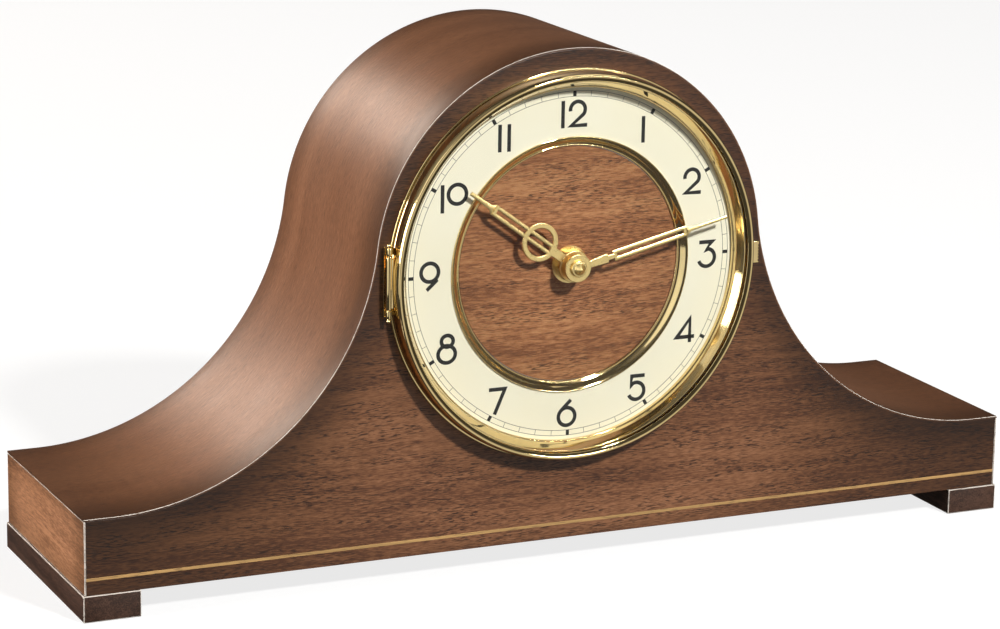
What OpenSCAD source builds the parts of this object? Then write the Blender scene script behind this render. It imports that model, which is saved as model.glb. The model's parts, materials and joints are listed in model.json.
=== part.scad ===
// Tambour mantel clock with a glazed, hinged bezel and a battery movement.
// Millimetres. +X right, +Y to the back, +Z up. The origin is on the surface
// that the clock stands on, at the middle of its bounding box. Inside placed(),
// y = 0 is the front face of the case, and y grows towards the back.

/* [Case] */
// Width of the case
case_w = 430; // [420:2:460]
// Depth of the case, front face to back face
case_d = 107; // [100:1:115]
// Height of the feet
foot_h = 11.3; // [8:0.1:14]
// Width of each foot
foot_w = 24.5; // [20:0.5:30]
// How far a foot stands proud of the case at its outer sides
foot_proud = 0.7; // [0.3:0.1:2]
// Height of the flat shoulders at the two ends
shoulder_z = 43.4; // [40:0.1:46]
// Height of the middle of the hump
hump_z = 134.4; // [133:0.1:136]
// Radius of the hump over the dial
hump_r = 89.1; // [89:0.1:92]
// Radius of the hollow curve between hump and shoulder
cove_r = 114.6; // [112:0.2:118]
// Thickness of the front board
front_t = 9; // [8:0.5:10]
// Thickness of the back board
back_t = 6; // [4:0.5:8]
// Thickness of the bent top skin
skin_t = 4; // [3:0.5:4]
// Thickness of the face, top and end veneers
veneer_t = 0.8; // [0.6:0.1:1]
// Height of the middle of the inlay strip
inlay_z = 17.9; // [16:0.1:22]
// Width of the inlay strip
inlay_w = 1.4; // [1:0.1:3]

/* [Dial] */
// Height of the middle of the dial
dial_z = 130.9; // [130:0.1:132]
// Outer radius of the chapter ring
dial_r = 77.2; // [77:0.1:77.3]
// Inner radius of the chapter ring
chapter_r = 54.4; // [50:0.2:60]
// Radius of the wooden centre disc
centre_r = 50.5; // [45:0.1:50.6]

/* [Hands] */
// Hour hand direction, in degrees clockwise from twelve
hour_at = 306; // [0:1:359]
// Minute hand direction, in degrees clockwise from twelve
minute_at = 76.5; // [0:0.5:359.5]
// Length of the hour hand, centre to tip
hour_len = 59.3; // [56:0.1:62]
// Length of the minute hand, centre to tip
minute_len = 72.1; // [66:0.1:73]

/* [Bezel door] */
// Outer radius of the door's brass ring
bezel_r = 83.4; // [83:0.1:83.6]
// Radius at the crest of the door's ring
crest_r = 81.8; // [81.4:0.1:82]
// Height of the glass dome
dome_h = 7; // [5:0.5:8]
// Thickness of the glass
glass_t = 1.5; // [1.2:0.1:1.6]

/* [Rear door] */
// Width of the rear door
rear_w = 109; // [90:1:112]
// Height of the rear door
rear_h = 134; // [110:1:136]

/* [Hidden] */
$fn = 96;
eps = 0.01;

// Colours
walnut = "#5e3827";
walnut_dark = "#43281f";
ply = "#a98252";
maple = "#d6a45c";
brass = "#d9b45a";
cream = "#efe9d2";
black_plastic = "#26262a";
grey_plastic = "#8d9096";
white_plastic = "#dcdcd6";
steel = "#b9bcc0";
copper = "#b46a3a";

// Heights, depths and reaches that several parts share
body_z = foot_h;
half_w = case_w / 2;
inner_half = half_w - veneer_t;
cove_z = shoulder_z + cove_r;
cove_x = sqrt(pow(hump_r + cove_r, 2) - pow(cove_z - hump_z, 2));
board_back = veneer_t + front_t;
back_front = case_d - back_t;
base_t = 8;
base_top = body_z + base_t;
dial_hole_r = 78.6;

// Glass: its edge lies at glass_edge_y and its middle dome_h further forward
glass_edge_y = -5.7;
glass_r = 80.6;
glass_out = dome_h + glass_t - glass_edge_y;
knob_out = glass_out - 6;
front_y = -(case_d + knob_out - glass_out) / 2;

// Planes of the dial stack and the hands, measured from the front face
dial_y = 0.85;
centre_y = 2.9;
plate_y = 3.45;
plate_t = 1;
move_y = plate_y + plate_t + 0.05;
hour_y = -2.8;
minute_y = -6.3;
hand_t = 0.8;

// Movement housing, relative to the middle of the dial
move_w = 72;
move_low = -40;
move_high = 30;
move_split = 16;
move_back = 28.5;
move_wall = 1.6;

// Time train: tooth counts, modules and arbor places
cannon_teeth = 12;
minute_teeth = 36;
minute_pinion_teeth = 10;
hour_teeth = 40;
centre_teeth = 64;
third_pinion_teeth = 8;
third_teeth = 60;
fourth_pinion_teeth = 8;
fourth_teeth = 60;
knob_teeth = 12;
motion_mod = 0.5;
hour_mod = 0.48;
centre_mod = 0.4;
third_mod = 0.36;
fourth_mod = 0.24;
mesh_gap = 0.05;
motion_dist = motion_mod * (cannon_teeth + minute_teeth) / 2 + mesh_gap;
third_dist = centre_mod * (centre_teeth + third_pinion_teeth) / 2 + mesh_gap;
fourth_dist = third_mod * (third_teeth + fourth_pinion_teeth) / 2 + mesh_gap;
minute_wheel_dir = 210;
third_dir = 90;
fourth_dir = 0;
knob_dir = 200;
function polar(r, a) = [r * cos(a), r * sin(a)];
minute_wheel_at = polar(motion_dist, minute_wheel_dir);
third_at = polar(third_dist, third_dir);
fourth_at = third_at + polar(fourth_dist, fourth_dir);
knob_at = minute_wheel_at + polar(motion_dist, knob_dir);
rotor_at = [23.5, 0];
pivot_r = 0.5;
running = 0.05;

// Turn of a gear so that its teeth meet those of the gear that drives it,
// which has za teeth and is turned by ra, in the direction dir seen from it
function mesh_turn(za, ra, zb, dir) =
    dir + 180 - 360 / zb * (0.5 - (dir - ra) * za / 360);
minute_wheel_turn = mesh_turn(cannon_teeth, 0, minute_teeth, minute_wheel_dir);
hour_turn = mesh_turn(minute_pinion_teeth, minute_wheel_turn, hour_teeth, minute_wheel_dir + 180);
knob_turn = mesh_turn(minute_teeth, minute_wheel_turn, knob_teeth, knob_dir);
third_turn = mesh_turn(centre_teeth, 0, third_pinion_teeth, third_dir);
fourth_turn = mesh_turn(third_teeth, third_turn, fourth_pinion_teeth, fourth_dir);

// Bezel door hinge at nine o'clock
hinge_x = -84.8;
hinge_y = -3.6;
hinge_r = 1.3;
hinge_pin_r = 0.6;
hinge_end = 14.9;
hinge_mid = 11.2;

// Rear door and its two hinges
rear_z = 54;
rear_gap = 0.5;
rear_hinge_x = -(rear_w + rear_gap) / 2;
rear_hinge_y = case_d + 1.6;
rear_hinge_zs = [rear_z + 24.5, rear_z + 109.5];
rear_knuckle_r = 1.5;
rear_pin_r = 0.8;
leaf_t = 0.8;

// Loudspeaker, face down on the base board
speaker_x = 125;
speaker_y = 54;
speaker_r = 33;

// Screws
small_shank_r = 1;
small_head_r = 1.8;
small_head_h = 1;
foot_screw_ys = [20, case_d - 20];
foot_screw_x = half_w + foot_proud - foot_w / 2;

module placed() translate([0, front_y, 0]) children();

// Everything that is round about the dial's middle: x stays, 2D y becomes z
module slab(y0, y1) translate([0, y1, 0]) rotate([90, 0, 0]) linear_extrude(y1 - y0) children();
module at_dial() translate([0, 0, dial_z]) children();

// A ring about the dial axis from a profile of [radius, y] points
module turned(points) rotate([-90, 0, 0]) rotate_extrude($fn = 180) polygon(points);

// A cylinder along y from y0 to y1 at [x, z]
module rod_y(p, r, y0, y1) translate([p[0], y0, p[1]]) rotate([-90, 0, 0]) cylinder(r = r, h = y1 - y0);

// A box given by its lowest and highest corners
module block(a, b) translate(a) cube(b - a);

// Front outline of the case, taken in from its top side by inset
module outline(inset = 0, half = half_w) {
    ratio = (hump_r - inset) / (hump_r + cove_r);
    join_x = cove_x * ratio;
    join_z = hump_z + (cove_z - hump_z) * ratio;
    difference() {
        translate([0, hump_z]) circle(r = hump_r - inset, $fn = 240);
        translate([-hump_r - 1, hump_z - hump_r - 1]) square([2 * hump_r + 2, join_z - hump_z + hump_r + 1]);
    }
    difference() {
        translate([-cove_x, body_z]) square([2 * cove_x, join_z - body_z]);
        for (side = [-1, 1])
            translate([side * cove_x, cove_z]) circle(r = cove_r + inset, $fn = 240);
    }
    for (side = [-1, 1])
        translate([side > 0 ? cove_x - eps : -half, body_z])
            square([half - cove_x + eps, shoulder_z - inset - body_z]);
}

module rounded_rect(w, h, r) {
    translate([-w / 2 + r, -h / 2]) square([w - 2 * r, h]);
    translate([-w / 2, -h / 2 + r]) square([w, h - 2 * r]);
    for (sx = [-1, 1], sz = [-1, 1])
        translate([sx * (w / 2 - r), sz * (h / 2 - r)]) circle(r = r);
}

// Case -----------------------------------------------------------------

base_ring_screw_dirs = [45, 135, 225, 315];
clip_dirs = [20, 110, 200, 340];
base_ring_screw_r = 80.8;
clip_screw_r = 81;
speaker_screw_r = 30.7;

module dial_ring_holes(dirs, radius, hole_r, y0, y1)
    for (dir = dirs) at_dial() rod_y(polar(radius, dir), hole_r, y0, y1);

module front_board() color(walnut) placed() difference() {
    slab(veneer_t, board_back) difference() {
        outline(veneer_t, inner_half);
        translate([0, dial_z]) circle(r = dial_hole_r, $fn = 180);
    }
    dial_ring_holes(base_ring_screw_dirs, base_ring_screw_r, small_shank_r + running, 0, 8);
    dial_ring_holes(clip_dirs, clip_screw_r, small_shank_r + running, 4, 12);
}

module front_veneer() color(walnut) placed() difference() {
    slab(0, veneer_t) difference() {
        outline(veneer_t, inner_half);
        translate([0, dial_z]) circle(r = dial_hole_r, $fn = 180);
        translate([-case_w, inlay_z - inlay_w / 2]) square([2 * case_w, inlay_w]);
    }
    dial_ring_holes(base_ring_screw_dirs, base_ring_screw_r, small_shank_r + running, -1, 2);
}

module inlay_strip() color(maple) placed()
    block([-inner_half, 0, inlay_z - inlay_w / 2], [inner_half, veneer_t, inlay_z + inlay_w / 2]);

module top_skin() color(ply) placed() slab(board_back, back_front) difference() {
    outline(veneer_t, inner_half);
    outline(veneer_t + skin_t, inner_half + 1);
}

module top_veneer() color(walnut) placed() slab(0, case_d) difference() {
    outline();
    outline(veneer_t, half_w + 1);
}

module end_panel(side) color(ply) placed() {
    panel_t = 8;
    low = side > 0 ? inner_half - panel_t : -inner_half;
    block([low, board_back, base_top], [low + panel_t, back_front, shoulder_z - veneer_t - skin_t]);
}
module end_panel_left() end_panel(-1);
module end_panel_right() end_panel(1);

module end_veneers() color(walnut) placed()
    for (low = [-half_w, inner_half])
        block([low, 0, body_z], [low + veneer_t, case_d, shoulder_z - veneer_t]);

rear_mid_z = rear_z + rear_h / 2;
module back_board() color(walnut_dark) placed() slab(back_front, case_d) difference() {
    outline(veneer_t, inner_half);
    translate([0, rear_mid_z]) rounded_rect(rear_w + 2 * rear_gap, rear_h + 2 * rear_gap, 8);
}

module base_board() color(ply) placed() difference() {
    block([-inner_half, board_back, body_z], [inner_half, back_front, base_top]);
    for (sx = [-1, 1], y = foot_screw_ys)
        translate([sx * foot_screw_x, y, body_z - 1]) cylinder(r = 2, h = 7);
    // Sound slots under the loudspeaker
    for (i = [-2:2])
        translate([speaker_x + i * 9 - 2, speaker_y - 22 + abs(i) * 3, body_z - 1])
            cube([4, 44 - abs(i) * 6, base_t + 2]);
    for (a = [45:90:315])
        translate([speaker_x + speaker_screw_r * cos(a), speaker_y + speaker_screw_r * sin(a), base_top - 7])
            cylinder(r = small_shank_r + running, h = 8);
}

module foot(side) color(walnut_dark) placed() difference() {
    low = side > 0 ? half_w + foot_proud - foot_w : -half_w - foot_proud;
    block([low, -foot_proud, 0], [low + foot_w, case_d + foot_proud, foot_h]);
    for (y = foot_screw_ys) translate([side * foot_screw_x, y, -1]) {
        cylinder(r = 2.1, h = foot_h + 2);
        cylinder(r = 4.2, h = 4);
    }
}
module foot_left() foot(-1);
module foot_right() foot(1);

module foot_screws() color(steel) placed()
    for (sx = [-1, 1], y = foot_screw_ys) translate([sx * foot_screw_x, y, 0.6]) difference() {
        union() {
            cylinder(r = 3.8, h = 2.4);
            cylinder(r = 1.95, h = 15);
        }
        for (turn = [0, 90]) rotate(turn) translate([-2, -0.35, -1]) cube([4, 0.7, 2]);
    }

block_w = 12;
module glue_blocks() color(ply) placed()
    for (x = [-170, -60, 60], y = [board_back, back_front - block_w])
        block([x - 25, y, base_top], [x + 25, y + block_w, base_top + block_w]);

// Fixed base ring and bezel hinge --------------------------------------

base_flange_t = 0.9;
sink_depth = 0.8;

module base_ring() color(brass) placed() at_dial() difference() {
    union() {
        turned([[84.2, -0.5], [83.8, -0.9], [76.2, -0.9], [75.9, -0.6], [75.9, 0.8],
                [77.4, 0.8], [77.4, 8], [78.2, 8], [78.2, 0], [84.2, 0]]);
        block([-86, -base_flange_t, -hinge_end], [-83, 0, hinge_end]);
    }
    for (dir = base_ring_screw_dirs) {
        rod_y(polar(base_ring_screw_r, dir), small_shank_r + running, -2, 1);
        translate([base_ring_screw_r * cos(dir), -base_flange_t - running, base_ring_screw_r * sin(dir)])
            rotate([-90, 0, 0]) cylinder(r1 = small_head_r + running, r2 = small_shank_r, h = sink_depth + running);
    }
}

module hinge_knuckles() color(brass) placed() at_dial()
    for (low = [-hinge_end, hinge_mid + 0.3]) difference() {
        union() {
            translate([hinge_x, hinge_y, low]) cylinder(r = hinge_r - 0.2, h = hinge_end - hinge_mid - 0.3);
            block([hinge_x - 0.3, hinge_y, low], [-83.2, -base_flange_t, low + hinge_end - hinge_mid - 0.3]);
        }
        translate([hinge_x, hinge_y, -20]) cylinder(r = hinge_pin_r + 0.02, h = 40);
    }

module hinge_pin() color(brass) placed() at_dial() translate([hinge_x, hinge_y, 0]) {
    translate([0, 0, -hinge_end - 0.4]) cylinder(r = hinge_pin_r, h = 2 * hinge_end + 0.8);
    for (side = [-1, 1]) translate([0, 0, side * (hinge_end + 1)]) sphere(r = 1, $fn = 32);
}

module small_screw(length) {
    translate([0, 0, -length]) cylinder(r = small_shank_r, h = length);
    difference() {
        cylinder(r = small_head_r, h = small_head_h);
        translate([-2, -0.25, small_head_h - 0.4]) cube([4, 0.5, 1]);
    }
}

// Countersunk screw with its head flush at z = 0
module flush_screw(length) difference() {
    union() {
        translate([0, 0, -length]) cylinder(r = small_shank_r, h = length);
        translate([0, 0, -sink_depth]) cylinder(r1 = small_shank_r, r2 = small_head_r, h = sink_depth);
    }
    translate([-2, -0.25, -0.3]) cube([4, 0.5, 1]);
}

clip_t = 1;
module wood_screws() color(brass) placed() {
    for (dir = base_ring_screw_dirs) at_dial()
        translate([base_ring_screw_r * cos(dir), -base_flange_t, base_ring_screw_r * sin(dir)])
            rotate([90, 0, 0]) flush_screw(8);
    for (dir = clip_dirs) at_dial()
        translate([clip_screw_r * cos(dir), board_back + clip_t, clip_screw_r * sin(dir)])
            rotate([-90, 0, 0]) small_screw(6);
    for (a = [45:90:315])
        translate([speaker_x + speaker_screw_r * cos(a), speaker_y + speaker_screw_r * sin(a), base_top + 1.2])
            small_screw(7);
}

// Dial -----------------------------------------------------------------

module chapter_ring() color(cream) placed() at_dial() slab(dial_y, plate_y - 0.05) difference() {
    circle(r = dial_r, $fn = 180);
    circle(r = chapter_r, $fn = 180);
}

module centre_ring() color(brass) placed() at_dial()
    turned([[54.3, 3.4], [54.3, 0.83], [55.1, 0.83], [55.1, 0.4], [54.3, 0.1],
            [51.5, 2.7], [50.7, 2.75], [50.7, 3.4]]);

module centre_disc() color(walnut) placed() at_dial() slab(centre_y, plate_y - 0.05) difference() {
    circle(r = centre_r, $fn = 180);
    circle(r = 4.15);
}

module dial_plate() color(steel) placed() at_dial() slab(plate_y, plate_y + plate_t) difference() {
    circle(r = dial_r, $fn = 180);
    circle(r = 4.15);
}

// Stepped clip that holds the dial plate forward against the base ring
module dial_clips() color(steel) placed() at_dial() for (dir = clip_dirs) rotate([0, -dir, 0])
    difference() {
        union() {
            block([68, plate_y + plate_t + 0.05, -4], [76.8, plate_y + plate_t + 0.05 + clip_t, 4]);
            block([75.8, plate_y + plate_t + 0.05, -4], [76.8, board_back + clip_t, 4]);
            block([75.8, board_back, -4], [83.2, board_back + clip_t, 4]);
        }
        rod_y([clip_screw_r, 0], small_shank_r + running, 5, 15);
    }

// Bezel door -----------------------------------------------------------

ring_back = -1.2;
ring_crest = -8.4;
ring_lip_r = 79.8;
ring_wall = 0.9;
ring_fall = 0.7;
function arc_steps(n) = [for (i = [0:n]) 90 * i / n];

// Spun brass ring: a quarter ellipse up to the crest, then a short fall to the lip
ring_face = concat(
    [for (t = arc_steps(10))
        [crest_r + (bezel_r - crest_r) * cos(t), ring_back + (ring_crest - ring_back) * sin(t)]],
    [for (t = arc_steps(5))
        if (t > 0) [crest_r - (crest_r - ring_lip_r) * sin(t), ring_crest + ring_fall * (1 - cos(t))]]);

module bezel_ring() color(brass) placed() at_dial()
    turned(concat(ring_face, [[ring_lip_r, -7.42], [80.65, -7.27], [80.65, -6.4], [82.2, -5.5],
                              [bezel_r - ring_wall, ring_back]]));

// Conical reflector that holds the glass in the ring from behind
module glass_retainer() color(brass) placed() at_dial()
    turned([[80.5, -5.65], [79.3, -5.87], [76.4, -1.3], [76.4, ring_back], [82.4, ring_back], [82.35, -1.8],
            [80.5, -2.2]]);

dome_r = (glass_r * glass_r + dome_h * dome_h) / (2 * dome_h);
module dome_glass() color("#dfeaf0", 0.3) placed() at_dial()
    translate([0, glass_edge_y - dome_h + dome_r, 0]) intersection() {
        difference() {
            sphere(r = dome_r + glass_t, $fn = 360);
            sphere(r = dome_r, $fn = 360);
        }
        rod_y([0, 0], glass_r, -dome_r - 10, -dome_r + dome_h);
    }

module door_knuckle() color(brass) placed() at_dial() difference() {
    union() {
        translate([hinge_x, hinge_y, -hinge_mid]) cylinder(r = hinge_r, h = 2 * hinge_mid);
        block([hinge_x, hinge_y - 1.1, -hinge_mid], [-82.2, hinge_y + 0.8, hinge_mid]);
    }
    translate([hinge_x, hinge_y, -20]) cylinder(r = hinge_pin_r + running, h = 40);
    rod_y([0, 0], bezel_r, -10, 5);
}

tab_h = 9.8;
module lift_tab() color(brass) placed() at_dial() difference() {
    block([82, -4.6, -tab_h / 2], [87, -1.6, tab_h / 2]);
    rod_y([0, 0], bezel_r, -10, 5);
    // Grip grooves across the free end
    for (z = [-tab_h / 2 + 1:1.3:tab_h / 2 - 1])
        block([86.6, -5, z], [88, 0, z + 0.6]);
}

// Hands ----------------------------------------------------------------

module minute_hand() color(brass) placed() at_dial() {
    slab(minute_y, minute_y + hand_t) rotate(-minute_at) difference() {
        union() {
            circle(r = 6);
            polygon([[-1.7, 4], [1.7, 4], [2.1, 14.4], [-2.1, 14.4]]);
            translate([-1.1, 14]) square([2.2, 4]);
            translate([-2.3, 17]) square([4.6, 35.2]);
            polygon([[-2.3, 52], [2.3, 52], [0.8, 54.4], [0.65, minute_len], [-0.65, minute_len], [-0.8, 54.4]]);
        }
        translate([-0.7, 18.8]) square([1.4, 32]);
        circle(r = 1.82);
    }
    slab(minute_y + hand_t - eps, -4.1) difference() {
        circle(r = 3.2);
        circle(r = 1.82);
    }
}

module hand_nut() color(brass) placed() at_dial() difference() {
    turned([[0, minute_y - 3.6], [0.5, minute_y - 3.5], [2.6, minute_y - 1.4], [3.6, minute_y - 0.9],
            [3.6, minute_y - 0.05], [0, minute_y - 0.05]]);
    rod_y([0, 0], 1.3, minute_y - 2, minute_y + 1);
}

module hour_hand() color(brass) placed() at_dial() {
    slab(hour_y, hour_y + hand_t) rotate(-hour_at) difference() {
        union() {
            circle(r = 6.8);
            translate([-2, 5]) square([4, 8]);
            difference() {
                translate([0, 19.9]) circle(r = 8.3);
                translate([0, 19.9]) circle(r = 6);
            }
            translate([-2.45, 12.6]) square([4.9, 33.8]);
            polygon([[-2.45, 46.3], [2.45, 46.3], [1, 48.3], [0.85, hour_len], [-0.85, hour_len], [-1, 48.3]]);
        }
        translate([-0.75, 14.4]) square([1.5, 30.2]);
        circle(r = 3.02);
    }
    slab(hour_y + hand_t - eps, -0.8) difference() {
        circle(r = 4.4);
        circle(r = 3.02);
    }
}

// Movement -------------------------------------------------------------

// Toothed outline: each tooth is a trapezium, a little thinner than its gap
module gear_outline(teeth, mod, turn) {
    pitch = 360 / teeth;
    root_r = mod * (teeth / 2 - 1.1);
    tip_r = mod * (teeth / 2 + 0.8);
    polygon([for (i = [0:teeth - 1], corner = [[-0.27, root_r], [-0.09, tip_r], [0.09, tip_r], [0.27, root_r]])
        polar(corner[1], turn + pitch * (i + corner[0]))]);
}

module gear(p, teeth, mod, turn, y0, y1) translate([p[0], 0, p[1]]) slab(y0, y1) gear_outline(teeth, mod, turn);

module minute_arbor() color(brass) placed() at_dial() {
    rod_y([0, 0], 1.8, minute_y + 0.1, 14.5);
    rod_y([0, 0], 1.25, minute_y - 1.9, minute_y + 0.2);
    rod_y([0, 0], 1, 14, 21.9);
    gear([0, 0], cannon_teeth, motion_mod, 0, 9.6, 11.6);
    gear([0, 0], centre_teeth, centre_mod, 0, 13, 14);
}

module hour_wheel() color(white_plastic) placed() at_dial() difference() {
    union() {
        rod_y([0, 0], 3, hour_y - 0.1, 8.6);
        gear([0, 0], hour_teeth, hour_mod, hour_turn, 7, 8.6);
    }
    rod_y([0, 0], 1.8 + running, -5, 12);
}

module minute_wheel() color(white_plastic) placed() at_dial() difference() {
    union() {
        gear(minute_wheel_at, minute_teeth, motion_mod, minute_wheel_turn, 9.8, 11.2);
        gear(minute_wheel_at, minute_pinion_teeth, hour_mod, minute_wheel_turn, 6.8, 9.9);
    }
    rod_y(minute_wheel_at, 0.8, 0, 20);
}

module third_wheel() color(white_plastic) placed() at_dial() {
    rod_y(third_at, pivot_r, 10.2, 21.5);
    gear(third_at, third_pinion_teeth, centre_mod, third_turn, 12.6, 16);
    gear(third_at, third_teeth, third_mod, third_turn, 16, 17);
}

module fourth_wheel() color(white_plastic) placed() at_dial() {
    rod_y(fourth_at, pivot_r, 13.2, 21.5);
    gear(fourth_at, fourth_pinion_teeth, third_mod, fourth_turn, 15.6, 18.5);
    gear(fourth_at, fourth_teeth, fourth_mod, 0, 18.5, 19.3);
}

module rotor() color(steel) placed() at_dial() {
    rod_y(rotor_at, pivot_r, 11.2, 21.5);
    rod_y(rotor_at, 2.5, 14.2, 16.8);
}

module set_knob() color(black_plastic) placed() at_dial() {
    rod_y(knob_at, 1.5, 9.6, 29.5);
    gear(knob_at, knob_teeth, motion_mod, knob_turn, 9.8, 11.2);
    translate([knob_at[0], 0, knob_at[1]]) slab(29.2, 34) difference() {
        circle(r = 7);
        for (a = [0:20:340]) rotate(a) translate([7.3, 0]) circle(r = 0.7, $fn = 16);
    }
}

housing_screws = [[-32.6, 26.6], [32.6, 26.6], [-32.6, -36.6], [32.6, -36.6]];
housing_boss_r = 2.6;

// One half of the box, its open side at open_y and its wall at wall_y
module housing_half(wall_y, open_y) {
    low_y = min(wall_y, open_y);
    high_y = max(wall_y, open_y);
    inner = wall_y < open_y ? wall_y + move_wall : wall_y - move_wall;
    half = move_w / 2;
    difference() {
        block([-half, low_y, move_low], [half, high_y, move_high]);
        difference() {
            block([-half + move_wall, min(inner, open_y) - (inner > open_y ? 1 : 0), move_low + move_wall],
                  [half - move_wall, max(inner, open_y) + (inner < open_y ? 1 : 0), move_high - move_wall]);
            for (p = housing_screws) rod_y(p, housing_boss_r, low_y - 2, high_y + 2);
        }
    }
}

module movement_front_case() color(black_plastic) placed() at_dial() {
    floor_y = move_y + move_wall;
    difference() {
        union() {
            housing_half(move_y, move_split);
            rod_y([0, 0], 4, -0.4, move_y + 0.5);
            rod_y(third_at, 1.5, floor_y - 0.5, 12.2);
            rod_y(fourth_at, 1.5, floor_y - 0.5, 15.2);
            rod_y(rotor_at, 1.5, floor_y - 0.5, 13.4);
        }
        rod_y([0, 0], 3 + running, -1, 10);
        for (p = housing_screws) rod_y(p, small_shank_r, 9, 20);
        rod_y(third_at, pivot_r + running, 10, 13);
        rod_y(fourth_at, pivot_r + running, 13, 16);
        rod_y(rotor_at, pivot_r + running, 11, 14);
    }
    rod_y(minute_wheel_at, 0.75, floor_y - 0.5, 13);
}

battery_z = -31;
battery_r = 7.1;
battery_half = 24.8;
switch_at = [14, 15];
cover_half = 29;

module movement_rear_case() color(grey_plastic) placed() at_dial() difference() {
    union() {
        housing_half(move_back, move_split + 0.05);
        // Rails of the battery cover
        for (side = [-1, 1]) {
            block([side * 31 - 1.5, move_back - 0.1, -39], [side * 31 + 1.5, move_back + 1.8, -23]);
            block([side * 30.2 - 2.3, move_back + 1.8, -39], [side * 30.2 + 2.3, move_back + 2.6, -23]);
        }
        // Lead outlet on the right side
        translate([move_w / 2 - 0.5, 22, -26]) rotate([0, 90, 0]) cylinder(r = 2.6, h = 3.5);
    }
    for (p = housing_screws) {
        rod_y(p, small_shank_r + running, 15, 30);
        rod_y(p, 2, move_back - 1.2, 30);
    }
    rod_y(knob_at, 1.5 + running, 20, 30);
    block([-27, move_back - 3, -38], [27, move_back + 1, -24.2]);
    translate([switch_at[0], 0, switch_at[1]]) block([-5, move_back - 3, -1.6], [5, move_back + 1, 1.6]);
    translate([move_w / 2 - 3, 22, -26]) rotate([0, 90, 0]) cylinder(r = 1.2, h = 8);
}

module movement_screws() color(steel) placed() at_dial() for (p = housing_screws)
    translate([p[0], move_back - 1.2, p[1]]) rotate([-90, 0, 0]) small_screw(16);

plate_pillars = [[-21, 21], [-21, -19], [15, -19], [14, 25]];
module train_plate() color(white_plastic) placed() at_dial() difference() {
    union() {
        block([-25, 20.5, -22], [27, 21.7, 27.4]);
        for (p = plate_pillars) rod_y(p, 1.8, move_y + move_wall, 20.6);
    }
    rod_y([0, 0], 1 + running, 19, 23);
    rod_y(knob_at, 1.5 + running, 19, 23);
    for (p = [third_at, fourth_at, rotor_at]) rod_y(p, pivot_r + running, 19, 23);
}

module fixing_washer() color(brass) placed() at_dial() slab(2.2, centre_y - 0.02) difference() {
    circle(r = 8);
    circle(r = 4.2);
}

module fixing_nut() color(brass) placed() at_dial() slab(-0.2, 2.18) difference() {
    circle(r = 6.9, $fn = 6);
    circle(r = 4.03);
}

module circuit_board() color("#2f6b3a") placed() at_dial() {
    block([-10, 23.2, -20], [33.5, 24.4, 22]);
    block([-6, 24.35, -14], [6, 25.6, -4]);
    block([18, 24.35, -16], [26, 25.4, -10]);
    // Body of the slide switch
    translate([switch_at[0], 0, switch_at[1]]) block([-6, 24.35, -3], [6, 25.9, 3]);
}

module stator() color(steel) placed() at_dial() slab(15, 16) difference() {
    translate([20, -18]) square([13.2, 26]);
    translate([27, -15]) square([3, 20]);
    translate([32, -15]) square([3, 20]);
    translate(rotor_at) circle(r = 2.9);
}

module coil() color(copper) placed() at_dial() difference() {
    translate([31, 15.5, -14.5]) cylinder(r = 3, h = 19);
    block([29.95, 14.95, -20], [32.05, 16.05, 10]);
}

module battery() color("#3b4a68") placed() at_dial() translate([-battery_half, 19, battery_z])
    rotate([0, 90, 0]) {
        cylinder(r = battery_r, h = 2 * battery_half - 1.2);
        cylinder(r = 2.6, h = 2 * battery_half);
    }

module battery_contacts() color(steel) placed() at_dial()
    for (side = [-1, 1])
        block([side * (battery_half + 0.35) - 0.25, 14, battery_z - 5],
              [side * (battery_half + 0.35) + 0.25, 24, battery_z + 5]);

module battery_cover() color(grey_plastic) placed() at_dial() difference() {
    block([-cover_half, move_back + 0.3, -39.5], [cover_half, move_back + 1.5, -22.8]);
    for (x = [-3:1.5:3]) block([x - 0.3, move_back + 1.1, -26], [x + 0.3, move_back + 2, -24]);
}

module melody_switch() color(black_plastic) placed() at_dial() translate([switch_at[0], 0, switch_at[1]]) {
    block([-1.5, 26.1, -1.2], [1.5, move_back + 2.4, 1.2]);
}

// Loudspeaker ----------------------------------------------------------

module at_speaker() translate([speaker_x, speaker_y, base_top]) children();

module speaker_basket() color(steel) placed() at_speaker() difference() {
    rotate_extrude() polygon([[27.5, 0], [speaker_r, 0], [speaker_r, 1.2], [28.5, 1.2], [15, 13], [15, 15],
                              [7, 15], [7, 13.8], [13.6, 13.8], [13.6, 12.4], [27.5, 0.6]]);
    for (a = [45:90:315])
        translate([speaker_screw_r * cos(a), speaker_screw_r * sin(a), -1])
            cylinder(r = small_shank_r + running, h = 4);
}

module speaker_cone() color("#1f1f1f") placed() at_speaker()
    rotate_extrude() polygon([[26.5, 0.6], [27.3, 0.6], [9, 11.6], [0, 12.6], [0, 12], [8.6, 11]]);

module speaker_magnet() color("#3a3a3e") placed() at_speaker() translate([0, 0, 15.05]) {
    cylinder(r = 13, h = 6);
    translate([0, 0, 6]) cylinder(r = 11.5, h = 1.5);
}

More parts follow.
